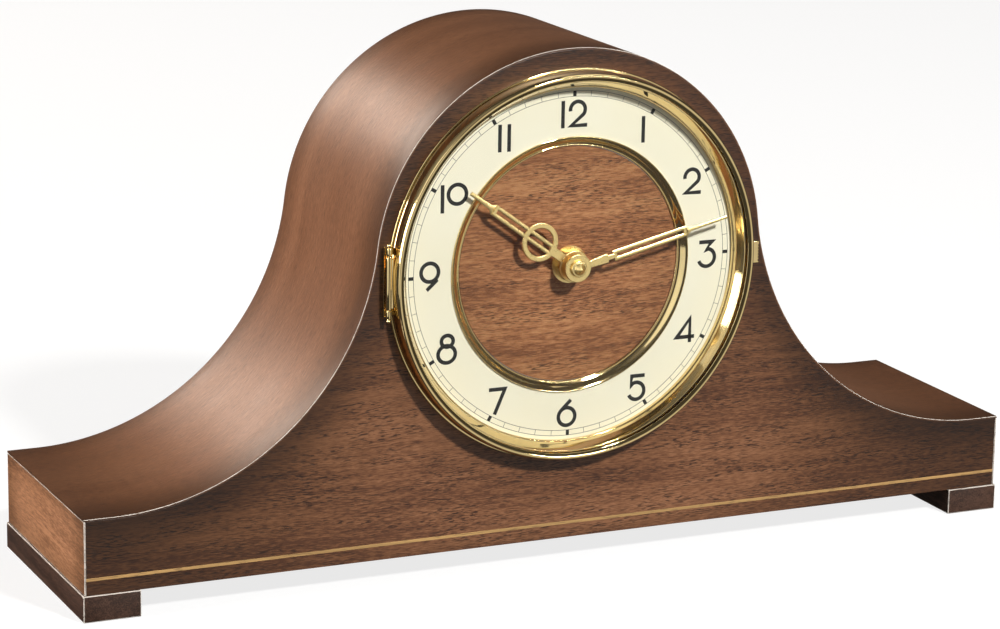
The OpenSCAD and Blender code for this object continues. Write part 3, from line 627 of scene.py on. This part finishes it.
def top_line(inset):
    """The case's outline over the top, left end to right, as (x, z)."""
    join = math.degrees(math.atan2(HUMP_Z - COVE_Z, COVE_X))
    left = [(-HALF_W + i / FLAT_STEPS * (HALF_W - COVE_X), SHOULDER_Z - inset)
            for i in range(FLAT_STEPS + 1)]
    left += arc(-COVE_X, COVE_Z, COVE_R + inset, COVE_R + inset, -90, join, COVE_STEPS)[1:]
    left += arc(0, HUMP_Z, HUMP_R - inset, HUMP_R - inset, 180 + join, 90, HUMP_STEPS)[1:]
    return left + [(-x, z) for x, z in reversed(left[:-1])]


def board_outline(low):
    """Outline of a board inside the top and end veneers, down to a height of low."""
    inner = HALF_W - VENEER
    line = top_line(VENEER)
    return ([(-inner, line[0][1])] + [p for p in line if abs(p[0]) < inner]
            + [(inner, line[-1][1]), (inner, low), (-inner, low)])


def build_top():
    """Top veneer: swept along the outline, with rounded front and back arrises."""
    s = Solid()
    round_steps, inner_rows = 4, 16
    corner = quarter(round_steps)
    profile = [(EDGE * u, EDGE * v) for u, v in corner]
    profile += [(0.0, EDGE + (CASE_D - 2 * EDGE) * i / inner_rows) for i in range(1, inner_rows)]
    profile += [(EDGE * u, CASE_D - EDGE * v) for u, v in reversed(corner)]
    profile += [(VENEER, CASE_D), (VENEER, 0.0)]
    lines = {inset: top_line(inset) for inset, _ in profile}
    base_line = lines[0.0]
    run = [0.0]
    for a, b in zip(base_line, base_line[1:]):
        run.append(run[-1] + math.dist(a, b))
    count = len(base_line)
    for k in range(count):
        for inset, y in profile:
            x, z = lines[inset][k]
            s.verts.append(at(x, y, z))
            s.grain.append((run[k] * MM, y * MM, inset * MM))
    n = len(profile)
    back_round = range(n - 2 - round_steps, n - 3)
    for k in range(count - 1):
        for i in range(n):
            j = (i + 1) % n
            # The rounded front and back arrises take the pale edge colour, part wear and part
            # painted highlight.
            wear_and_highlight = i < round_steps or i in back_round
            ids = (k * n + i, (k + 1) * n + i, (k + 1) * n + j, k * n + j)
            s.face(ids, 1 if wear_and_highlight else 0)
    s.face(range(n))
    s.face(reversed(range((count - 1) * n, count * n)))
    obj = s.make("case_top_veneer", "case", "top_walnut", mats=[M["top_walnut"], M["edge_wear_and_highlight"]],
                 replaces=["top_veneer"], sharp=50)
    edit_mesh(obj, outward)


def build_face():
    """Front veneer in two parts, above and below the inlay, with the dial opening cut out."""
    inner = HALF_W - VENEER
    opening_r, opening_steps, gap = 78.6, 180, 0.04
    s = Solid()
    s.plate([board_outline(INLAY_HIGH), circle(opening_r, opening_steps, 0, DIAL_Z)], 0.0, VENEER,
            ease=0.12)
    s.plate([rect(-inner, BODY_Z, inner, INLAY_LOW)], 0.0, VENEER, ease=0.12)
    s.make("case_face_veneer", "case", "face_walnut", replaces=["front_veneer"])
    t = Solid()
    t.plate([rect(-inner, INLAY_LOW + gap, inner, INLAY_HIGH - gap)], 0.02, VENEER)
    t.make("inlay_line", "case", "inlay_maple", replaces=["inlay_strip"])


def eased_box(name, low, high, ease, body, slot, mats=None, **kw):
    """A block with rounded arrises whose rounding may carry the second material."""
    bm = bmesh.new()
    bmesh.ops.create_cube(bm, size=1.0)
    for v in bm.verts:
        v.co = Vector((low[i] if v.co[i] < 0 else high[i]) for i in range(3))
    bmesh.ops.bevel(bm, geom=bm.edges[:], offset=ease, segments=3, profile=0.5, affect="EDGES",
                    material=1 if mats else -1)
    outward(bm)
    verts = [at(*v.co) for v in bm.verts]
    faces = [tuple(v.index for v in f.verts) for f in bm.faces]
    index = [f.material_index for f in bm.faces]
    bm.free()
    return piece(name, verts, faces, index, body, slot, mats=mats, sharp=50, **kw)


def build_ends_and_feet():
    # The rounded arrises of the ends and feet take the pale edge colour, part wear and part painted
    # highlight.
    for side, name in ((-1, "left"), (1, "right")):
        low, high = sorted((side * HALF_W, side * (HALF_W - VENEER)))
        obj = eased_box("end_veneer_" + name, (low, 0, BODY_Z), (high, CASE_D, SHOULDER_Z - VENEER),
                        0.35, "case", "end_walnut", mats=[M["end_walnut"], M["edge_wear_and_highlight"]])
        if side < 0:
            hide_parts("end_veneers")
        lo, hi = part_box("foot_" + name)
        eased_box("foot_block_" + name, (lo.x / MM, (lo.y - FRONT_Y) / MM, 0.0),
                  (hi.x / MM, (hi.y - FRONT_Y) / MM, hi.z / MM), 0.4, "case", "foot_walnut",
                  mats=[M["foot_walnut"], M["edge_wear_and_highlight"]], replaces=["foot_" + name])


build_top()
build_face()
build_ends_and_feet()


# Dial --------------------------------------------------------------------

DIAL_Y = (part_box("chapter_ring")[0].y - FRONT_Y) / MM
INK = 0.05  # how far the black print stands off the dial
PRINT_BACK = DIAL_Y - 0.002
STROKE = 1.65


def stroke(points, width=STROKE):
    """Outline of an open line of constant width with mitred bends."""
    left, right = [], []
    n = len(points)
    for i, p in enumerate(points):
        a = Vector(points[i - 1 if i else 0])
        b = Vector(points[i + 1 if i < n - 1 else n - 1])
        p = Vector(p)
        d0 = (p - a).normalized() if i else (b - p).normalized()
        d1 = (b - p).normalized() if i < n - 1 else d0
        n0, n1 = Vector((-d0.y, d0.x)), Vector((-d1.y, d1.x))
        m = n0 + n1
        m = m / max(0.3, m.dot(n0))
        left.append(tuple(p + m * width / 2))
        right.append(tuple(p - m * width / 2))
    return left + right[::-1]


def numeral_shapes():
    """For each hour, the loops of its strokes about the dial's middle."""
    w = STROKE
    h = w / 2

    def bow(x, z, r, start, end):
        return arc(x, z, r, r, start, end, 34)

    def bar(x, low, high):
        return [rect(x - h, low, x + h, high)]

    def ring(x, z, r, rz=None):
        rz = rz or r
        return [ellipse(x, z, r, rz, 56), ellipse(x, z, r - w, rz - w, 56)]

    def two(x, z):
        """A 2 whose box is 9.2 wide and 11.7 tall, from its lower left corner."""
        curve = bow(x + 4.45, z + 7.55, 3.4, 190, -38)
        return [stroke(curve + [(x + 1.5, z + h), (x + 8.9, z + h)])]

    def line(*points):
        return [stroke(list(points))]

    return {
        12: [bar(-5.25, 58.75, 70.3), two(-2.9, 58.75)],
        1: [bar(32.3, 50.25, 61.6)],
        2: [two(51.7, 26.2)],
        3: [line((60.6, 4.9), (67.0, 4.9), (63.3, 0.65), *bow(64.3, -1.95, 3.85, 78, -160))],
        4: [line((57.3, -38.75), (57.3, -28.2), (51.0, -36.2), (59.5, -36.2))],
        5: [line((36.2, -51.35), (30.0, -51.35), (29.6, -56.0),
                 *bow(32.2, -58.0, 3.75, 118, -155))],
        6: [ring(-0.55, -66.1, 4.7), line((-3.6, -63.6), (1.3, -58.9))],
        7: [line((-37.0, -51.0), (-29.6, -51.0), (-34.3, -61.9))],
        8: [ring(-56.6, -33.6, 4.75, 4.5), ring(-56.4, -28.0, 3.5, 3.3)],
        9: [ring(-64.7, 2.0, 4.75), line((-61.2, -1.2), (-66.0, -5.5))],
        10: [bar(-59.4, 26.6, 38.5), ring(-52.7, 34.2, 4.9)],
        11: [bar(-33.9, 50.5, 62.1), bar(-29.7, 50.5, 62.1)],
    }


def build_numerals():
    for hour, strokes in numeral_shapes().items():
        s = Solid()
        for k, loops in enumerate(strokes):
            s.plate(loops, DIAL_Y - INK - 0.004 * k, PRINT_BACK, ease=0.03, steps=1, place=on_dial)
        s.make("numeral_%02d" % hour, "case", "dial_cream", mats=[M["dial_ink"]], sharp=20)


def build_track():
    """Minute track: two fine rings, a tick for each minute and a block for each hour."""
    inner_r, outer_r, half_line = 72.0, 74.3, 0.11
    y0 = DIAL_Y - 0.03
    s = Solid()
    for r in (inner_r, outer_r):
        s.plate([circle(r + half_line, 240), circle(r - half_line, 240)], y0, PRINT_BACK, ease=0,
                place=on_dial)

    def mark(solid, degrees, low, high, width, front, **kw):
        ux, uz = clock_dir(degrees)
        loop = stroke([(ux * low, uz * low), (ux * high, uz * high)], width)
        solid.plate([loop], front, PRINT_BACK, place=on_dial, **kw)

    for minute in range(60):
        if minute % 5:
            mark(s, minute * 6, inner_r + 0.05, outer_r - 0.05, 0.2, y0 + 0.004, ease=0)
    s.make("minute_track", "case", "dial_cream", mats=[M["track_ink"]], sharp=20)
    t = Solid()
    for hour in range(12):
        mark(t, hour * 30, inner_r, outer_r + 0.05, 1.5, DIAL_Y - INK, ease=0.03, steps=1)
    t.make("hour_blocks", "case", "dial_cream", mats=[M["dial_ink"]], sharp=20)


def build_rings():
    lathe("chapter_disc", [(77.2, 3.4), (77.2, 0.95), (77.1, 0.85), (54.5, 0.85), (54.4, 0.95),
                           (54.4, 3.4)],
          "case", "dial_cream", replaces=["chapter_ring"])
    # Bright brass ring round the wooden centre: a rolled outer lip, then a cone down to the wood
    lathe("centre_bezel",
          [(54.3, 3.4), (54.3, 0.83), (55.1, 0.83)] + arc(54.8, 0.42, 0.3, 0.32, 0, -110, 6)
          + [(54.2, 0.3), (53.0, 1.4), (51.75, 2.55)] + arc(51.2, 2.75, 0.5, 0.42, -25, -180, 7)
          + [(50.7, 3.4)],
          "case", "polished_brass", replaces=["centre_ring"], sharp=40)
    lathe("centre_wood", [(50.5, 3.4), (50.5, 3.0), (50.4, 2.9), (4.25, 2.9), (4.15, 3.0),
                          (4.15, 3.4)],
          "case", "face_walnut", mats=[M["disc_walnut"]], replaces=["centre_disc"])
    lathe("base_flange",
          [(84.2, 0.0), (84.2, -0.45)] + arc(83.75, -0.45, 0.45, 0.45, 0, -90, 5)[1:]
          + [(76.2, -0.9)] + arc(76.2, -0.6, 0.3, 0.3, -90, -180, 4)[1:]
          + [(75.9, 0.8), (77.4, 0.8), (77.4, 8.0), (78.2, 8.0), (78.2, 0.0)],
          "case", "polished_brass", replaces=["base_ring"], sharp=40)
    leaf = Solid()
    leaf.plate([rounded(3.0, 29.8, 0.5, -84.5, 0)], -0.9, 0.0, ease=0.25, place=on_dial)
    leaf.make("hinge_leaf", "case", "polished_brass")


HINGE_X, HINGE_Y = -84.8, -3.6


def barrel(r, low, high, ease):
    """Profile of a barrel with rounded ends."""
    corner = quarter(4)
    return ([(0, low)] + [(r - ease * u, low + ease * v) for u, v in corner]
            + [(r - ease * v, high - ease * u) for u, v in corner] + [(0, high)])


def build_hinge():
    """Barrel hinge at nine o'clock: a long knuckle on the door between two on the base ring."""
    axis = (HINGE_X, HINGE_Y, DIAL_Z)

    def web(s):
        s.plate([rounded(2.0, 21.2, 0.3, -84.0, 0)], HINGE_Y - 1.0, HINGE_Y + 0.8, ease=0.3,
                back_ease=0.2, place=on_dial)

    spindle("hinge_barrel_door", barrel(1.3, -11.2, 11.2, 0.35), *axis, "bezel_door",
            "polished_brass", replaces=["door_knuckle"], extra=web)
    for side, name in ((-1, "low"), (1, "high")):
        low, high = sorted((side * 11.5, side * 14.9))

        def foot(s):
            s.plate([rounded(1.7, 3.1, 0.25, -84.25, (low + high) / 2)], HINGE_Y + 0.1, -0.8,
                    place=on_dial)

        spindle("hinge_barrel_" + name, barrel(1.12, low, high, 0.35), *axis, "case",
                "polished_brass", replaces=["hinge_knuckles"] if side < 0 else (), extra=foot)
    # The pin's ball ends are cut where they meet its shank
    ball_at, cut_at, shank_r, shank_end = -15.9, -15.2, 0.6, -15.0
    ball = [(math.sin(t), ball_at - math.cos(t)) for t in (math.pi * i / 10 for i in range(10))]
    end = [p for p in ball if p[1] < cut_at]
    pin = end + [(shank_r, shank_end), (shank_r, -shank_end)] + [(r, -h) for r, h in reversed(end)]
    spindle("hinge_pin_balls", pin, *axis, "case", "polished_brass", replaces=["hinge_pin"])


def build_tab():
    """Grip at three o'clock, its free end notched across."""
    rim_r, end, deep, half = 83.42, 87.0, 0.45, 4.9
    reach = math.asin(half / rim_r)
    loop = [(rim_r * math.cos(a), rim_r * math.sin(a)) for a in
            (reach * (1 - 2 * i / 10) for i in range(11))]
    loop += [(86.7, -half), (end, -half + 0.3)]
    z = -half + 1.0
    while z < half - 1.2:
        loop += [(end, z), (end - deep, z + 0.12), (end - deep, z + 0.48), (end, z + 0.6)]
        z += 1.3
    loop += [(end, half - 0.3), (86.7, half)]
    s = Solid()
    s.plate([loop], -4.6, -1.6, ease=0.3, steps=3, back_ease=0.3, place=on_dial)
    s.make("tab_grip", "bezel_door", "polished_brass", replaces=["lift_tab"])


def build_bezel():
    """The door's spun ring, the reflector inside it and the domed glass."""
    outer = [(83.35, -1.2), (83.4, -1.4), (83.4, -2.2), (83.2, -2.45)]
    outer += arc(81.85, -2.6, 1.5, 5.8, 0, -90, 16)
    outer += [(81.3, -8.33), (80.7, -8.12), (80.2, -7.87)]
    outer += arc(80.05, -7.62, 0.25, 0.2, -110, -200, 4)
    inner = [(79.85, -7.43), (80.65, -7.27), (80.65, -6.4), (82.2, -5.5), (82.5, -1.2)]
    lathe("bezel_rim", outer + inner, "bezel_door", "polished_brass", segments=320,
          replaces=["bezel_ring"], sharp=40)
    lathe("glass_reflector",
          [(80.5, -5.65), (79.35, -5.87)] + arc(79.2, -5.6, 0.2, 0.25, -70, -150, 3)
          + [(78.1, -4.1), (77.15, -2.6), (76.45, -1.4), (76.45, -1.2), (82.4, -1.2), (82.35, -1.8),
             (80.5, -2.2)],
          "bezel_door", "polished_brass", segments=320, replaces=["glass_retainer"], sharp=40)
    edge_y, edge_r, rise, thick = -5.7, 80.6, 7.0, 1.5
    ball = (edge_r ** 2 + rise ** 2) / (2 * rise)
    shell = ball + thick
    centre_y = edge_y - rise + ball
    inner_top = math.asin(edge_r / ball)
    outer_top = math.acos((centre_y - edge_y) / shell)
    steps = 40

    def dome(r, a):
        return r * math.sin(a), centre_y - r * math.cos(a)

    glass = [dome(shell, outer_top * i / steps) for i in range(steps + 1)]
    glass = [p for p in glass if p[0] < edge_r - 0.05]
    glass.append((edge_r, dome(shell, math.asin(edge_r / shell))[1]))
    glass += [dome(ball, inner_top * i / steps) for i in range(steps, -1, -1)]
    lathe("glass_dome", glass, "bezel_door", "clear_glass", replaces=["dome_glass"], closed=False,
          sharp=40)


build_rings()
build_numerals()
build_track()
build_bezel()
build_hinge()
build_tab()


# Back --------------------------------------------------------------------


def slotted_head(s, x, z, r, y0, y1, turn):
    """A screw head as two half discs with the slot between them."""
    c, w = math.cos(math.radians(turn)), math.sin(math.radians(turn))
    half_slot = 0.2
    start = math.asin(half_slot / r)
    for side in (-1, 1):
        loop = []
        for i in range(13):
            a = start + (math.pi - 2 * start) * i / 12
            u, v = r * math.cos(a), side * r * math.sin(a)
            loop.append((x + u * c - v * w, z + u * w + v * c))
        s.plate([loop], y0, y1, ease=0, back_ease=0.15)


def build_back():
    """Back board with its opening, the door in it, the turn knob and two butt hinges."""
    back = CASE_D
    front = (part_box("rear_door")[0].y - FRONT_Y) / MM
    low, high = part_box("rear_door")
    mid = (low.z + high.z) / 2 / MM
    wide, tall = (high.x - low.x) / MM, (high.z - low.z) / MM
    s = Solid()
    s.plate([board_outline(BODY_Z), rounded(wide + 1, tall + 1, 8, 0, mid, 10)], front, back,
            back_ease=0.3, steps=3)
    s.make("back_panel", "case", "back_walnut", replaces=["back_board"])
    knob_x = wide / 2 - 12
    d = Solid()
    d.plate([rounded(wide, tall, 7.5, 0, mid, 10), circle(2.05, 32, knob_x, mid)], front, back,
            ease=0.2, back_ease=0.7, steps=4)
    d.make("rear_door_panel", "rear_door_group", "back_walnut", replaces=["rear_door"])
    # Radius and depth: the end and shank inside the case, then the turned grip behind it
    knob = [(0, front - 1.4), (3.8, front - 1.35), (4, front - 1.15), (4, front), (2, front)]
    knob += [(r, back + depth) for r, depth in (
        (2, 0), (4.3, 0.02), (4.5, 0.3), (4.35, 0.9), (4.0, 1.6), (4.0, 2.4), (4.6, 3.2),
        (5.8, 4.1), (6.35, 4.6), (6.5, 5.2), (6.4, 6.2), (6.0, 7.2), (5.3, 7.9), (4.4, 8.2),
        (3.9, 8.15), (3.4, 7.8), (0, 7.6))]
    lathe("rear_knob_turned", knob, "rear_door_group", "hardware_brass", x=knob_x, z=mid - DIAL_Z,
          segments=64, closed=False, replaces=["rear_door_knob"], sharp=40)
    x = -(wide + 0.5) / 2
    pivot_y = back + 1.6
    # Side of the pin, body, CAD node, mark in the name, and how near the leaf comes to the pin
    sides = ((-1, "case", "rear_frame_leaves", "f", 0.6),
             (1, "rear_door_group", "rear_door_leaves", "d", 2.0))
    for k, z in enumerate((mid - 42.5, mid + 42.5)):
        for side, body, node, mark, near in sides:
            lo, hi = sorted((x + side * near, x + side * 13))
            leaf = eased_box("rear_leaf_%d%s" % (k, mark), (lo, back + 0.02, z - 11),
                             (hi, back + 0.82, z + 11), 0.2, body, "hardware_brass")
            if k == 0:
                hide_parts(node)
            h = Solid()
            for j, (dx, dz) in enumerate(((6.5, -7.5), (9.5, 0), (6.5, 7.5))):
                slotted_head(h, x + side * dx, z + dz, 1.5, back + 0.7, back + 1.1,
                             25 + 40 * j + 15 * k)
            h.make("rear_leaf_screws_%d%s" % (k, mark), body, "hardware_brass")

        def web(s):
            s.plate([rect(x, z - 3.6, x + 2.1, z + 3.6)], back + 0.1, back + 0.8, ease=0.05,
                    back_ease=0.05)

        for mark, low, high, body, extra in (("0", -11, -4, "case", None),
                                             ("1", 4, 11, "case", None),
                                             ("m", -3.7, 3.7, "rear_door_group", web)):
            spindle("rear_knuckle_%d%s" % (k, mark), barrel(1.5, low, high, 0.25), x, pivot_y, z,
                    body, "hardware_brass", segments=28, extra=extra)


build_back()


# Hands -------------------------------------------------------------------

HAND_THICK = 0.8


def ridge(s, outline, spine, y_front, place):
    """A bar with a roof. The outline goes round its side edges, and spine gives for each of its
    points the height on the ridge that it slopes up to."""
    n = len(outline)
    base = len(s.verts)
    for y in (y_front + HAND_THICK, y_front + 0.42):
        s.verts.extend(place(across, y, along) for across, along in outline)
    s.verts.extend(place(across, y_front, along) for across, along in spine)
    for i in range(n):
        j = (i + 1) % n
        for low in (base, base + n):
            s.face((low + i, low + j, low + n + j, low + n + i))
    s.face(base + i for i in reversed(range(n)))


def turned_place(angle):
    """Places (across, y, along) of a hand that points clockwise from twelve by angle."""
    ux, uz = clock_dir(angle)

    def place(across, y, along):
        return on_dial(uz * across + ux * along, y, -ux * across + uz * along)
    return place


def weld(bm):
    bmesh.ops.remove_doubles(bm, verts=bm.verts, dist=1e-7)
    bmesh.ops.dissolve_degenerate(bm, dist=1e-7, edges=bm.edges)


def build_hand(kind, angle, y, bore, hub, plates, bars, caps, tip, ridge_at, tube):
    """A hand whose front is at y. Its parts from the hub outwards: plates as (loops, set back,
    rounding, steps), two bars as (low, high, offset, half width), caps that join them as (half
    width, lows), and the tip as half widths and heights, with the heights of its ridge. tube
    is the (radius, back) of the tube under the hub."""
    place = turned_place(angle)
    s = Solid()

    def flat(loops, set_back, ease, steps=2):
        s.plate(loops, y + set_back, y + HAND_THICK, ease=ease, steps=steps, place=place)

    flat([circle(hub, 64), circle(bore, 48)], 0, 0.25)
    for part in plates:
        flat(*part)
    low, high, offset, half = bars
    end_run = 0.6
    for mid in (-offset, offset):
        spine = [(mid, low + end_run)] * 2 + [(mid, high - end_run)] * 2
        ridge(s, rect(mid - half, low, mid + half, high), spine, y, place)
    half, lows = caps
    for low in lows:
        flat([rect(-half, low, half, low + 1.7)], 0.1, 0.3)
    (w0, z0), (w1, z1), (w2, z2) = tip
    a, b, c = ridge_at
    ridge(s, [(-w0, z0), (w0, z0), (w1, z1), (w2, z2), (-w2, z2), (-w1, z1)],
          [(0, a), (0, a), (0, b), (0, c), (0, c), (0, b)], y, place)
    s.plate([circle(tube[0], 48), circle(bore, 48)], y + 0.75, tube[1], ease=0, place=place)
    obj = s.make(kind + "_hand_gilt", kind + "_group", "hand_brass", replaces=[kind + "_hand"],
                 sharp=18)
    edit_mesh(obj, weld, outward)


def build_hands():
    build_hand("hour", 306, -2.8, 3.02, 6.8, [
        ([rect(-2.0, 6.2, 2.0, 12.9)], 0.05, 0.3),
        ([circle(8.3, 96, 0, 19.9), circle(6.0, 96, 0, 19.9)], 0.08, 0.4, 4),
    ], (12.6, 46.4, 1.6, 0.85), (2.3, (12.6, 44.6)),
        ((2.45, 46.2), (1.0, 48.3), (0.85, 59.3)), (47.0, 48.6, 58.7), (4.4, -0.8))
    y = -6.3
    build_hand("minute", 76.5, y, 1.82, 6.0, [
        ([[(-1.55, 5.6), (1.55, 5.6), (2.1, 14.4), (-2.1, 14.4)]], 0.05, 0.3),
        ([rect(-1.1, 14.0, 1.1, 17.4)], 0.1, 0.25),
    ], (17.0, 52.2, 1.5, 0.8), (2.1, (17.0, 50.6)),
        ((2.3, 52.0), (0.8, 54.4), (0.65, 72.1)), (52.8, 54.7, 71.6), (3.2, -4.1))
    # Turned nut: a rolled collar, a dished shoulder and a bright point
    nut = [(0, 3.6), (0.3, 3.56), (0.7, 3.25), (2.35, 1.62), (2.5, 1.4), (2.75, 1.3)]
    nut = [(r, y - rise) for r, rise in nut] + arc(3.1, y - 0.75, 0.5, 0.55, -100, 0, 6)
    nut += [(r, y - rise) for r, rise in ((3.6, 0.2), (3.5, 0.05), (1.3, 0.05), (1.3, 2.0),
                                          (0, 2.0))]
    lathe("hand_nut_turned", nut, "minute_group", "hand_brass", segments=96, replaces=["hand_nut"],
          closed=False, sharp=24)


build_hands()


# Materials of the CAD nodes that show as they are --------------------------

for part in frame["record"]["subparts"]:
    node_obj = frame["nodes"][part["node"]]
    wanted = M[part["material_slot"]]
    if not node_obj.data.materials:
        node_obj.data.materials.append(wanted)
    for held in node_obj.material_slots:
        held.material = wanted

# Moulded and sawn parts have softened arrises
for node_name, width in (("movement_rear_case", 0.3), ("movement_front_case", 0.3),
                         ("battery_cover", 0.25), ("melody_switch", 0.2), ("base_board", 0.5),
                         ("glue_blocks", 0.5), ("dial_clips", 0.15)):
    bevel = frame["nodes"][node_name].modifiers.new("eased", "BEVEL")
    bevel.width = width * MM
    bevel.segments = 2
    bevel.limit_method = "ANGLE"
    bevel.angle_limit = math.radians(50)


# Floor, light and camera ---------------------------------------------------


def build_stage():
    s = Solid()
    size, rows = 9.0, 8
    marks = [-size + 2 * size * i / rows for i in range(rows + 1)]
    s.verts = [Vector((x, y, -0.0002)) for x in marks for y in marks]
    for i in range(rows):
        for j in range(rows):
            a = i * (rows + 1) + j
            s.face((a, a + rows + 1, a + rows + 2, a + 1))
    g = material("floor_paper")
    fine = g.noise(g.split(g.position()), (300, 300, 300))
    g.principled({
        "Base Color": g.mix(g.fit(fine, 0.3, 0.7), (0.24, 0.24, 0.24), (0.26, 0.26, 0.26)),
        "Roughness": 0.9,
        "Specular IOR Level": 0.0,
        "Emission Color": (1.0, 1.0, 1.0, 1),
        "Emission Strength": 0.80,
    })
    # A round wall of the same paper closes the horizon and takes no part in the light
    wall = Solid()
    wall.rings([[Vector((x, y, z)) for x, y in circle(0.98 * size, 64)] for z in (-0.0001, 7.0)])
    for name, made in (("floor", s), ("backdrop", wall)):
        obj = mesh_object(name, made.verts, made.faces, [M["floor_paper"]])
        obj.visible_diffuse = obj.visible_glossy = False
        obj.visible_shadow = name == "floor"


def area_light(name, place, target, power, width, height=None, colour=(1, 1, 1)):
    """A rectangle that faces the target, or a disc if it has no height."""
    data = bpy.data.lights.new(name, "AREA")
    data.shape = "RECTANGLE" if height else "DISK"
    data.size = width
    if height:
        data.size_y = height
    data.energy = power
    data.color = colour
    obj = bpy.data.objects.new(name, data)
    obj.location = place
    obj.rotation_mode = "QUATERNION"
    obj.rotation_quaternion = (Vector(target) - Vector(place)).to_track_quat("-Z", "Y")
    bpy.context.scene.collection.objects.link(obj)
    return obj


def build_light():
    middle = (0, 0, 0.1)
    area_light("key", (0.55, -1.75, 1.55), middle, 64, 0.24, colour=(1.0, 0.985, 0.96))
    area_light("rear_box", (-1.0, 2.1, 1.2), middle, 21, 1.3, 0.6, (1.0, 0.86, 0.74))
    area_light("left_box", (-2.2, 0.2, 0.48), middle, 42, 1.0, 1.0, (1.0, 0.97, 0.93))
    # Cards that only show as reflections in the brass and the glass
    for card in (area_light("over_card", (0.95, -0.05, 2.0), middle, 4.6, 1.5, 0.8),
                 area_light("left_card", (-1.5, -0.9, 0.55), middle, 10.0, 1.6, 2.2),
                 area_light("window", (0.70, -1.44, 0.44), (0, -0.05, 0.13), 2.6, 0.34, 0.03)):
        card.visible_diffuse = card.visible_camera = False
    # Room light: dim all round, brighter from the left above and from low in front
    world = bpy.data.worlds.new("studio")
    g = Graph(world, "ShaderNodeOutputWorld")
    coord = g.node("ShaderNodeTexCoord").outputs["Generated"]
    total = 0.06
    for way, near, full, amount in (((-0.80, -0.15, 0.58), 0.55, 0.95, 0.25),
                                    ((0.43, -0.87, -0.23), 0.86, 0.96, 0.62)):
        dot = g.node("ShaderNodeVectorMath", {0: coord, 1: way}, operation="DOT_PRODUCT")
        total = g.math("ADD", total, g.fit(dot.outputs["Value"], near, full, 0.0, amount))
    g.finish(g.node("ShaderNodeBackground", {0: (1.0, 0.975, 0.93, 1), 1: total}))
    bpy.context.scene.world = world


def build_camera():
    yaw, pitch, roll = (math.radians(a) for a in (24.663, 14.014, -0.988))
    level = math.cos(pitch)
    forward = Vector((math.sin(yaw) * level, math.cos(yaw) * level, -math.sin(pitch)))
    right = Vector((math.cos(yaw), -math.sin(yaw), 0))
    down = forward.cross(right)
    turned_right = right * math.cos(roll) + down * math.sin(roll)
    turned_down = down * math.cos(roll) - right * math.sin(roll)
    data = bpy.data.cameras.new("camera")
    data.sensor_fit = "HORIZONTAL"
    data.sensor_width = 36
    data.lens = 123.06
    data.clip_start, data.clip_end = 0.05, 40
    cam = bpy.data.objects.new("camera", data)
    m = Matrix((turned_right, -turned_down, -forward)).transposed().to_4x4()
    m.translation = Vector((-0.61091, -1.30937, 0.45826))
    cam.matrix_world = m
    bpy.context.scene.collection.objects.link(cam)
    bpy.context.scene.camera = cam


build_stage()
build_light()
build_camera()
bpy.context.scene.view_settings.view_transform = "Standard"
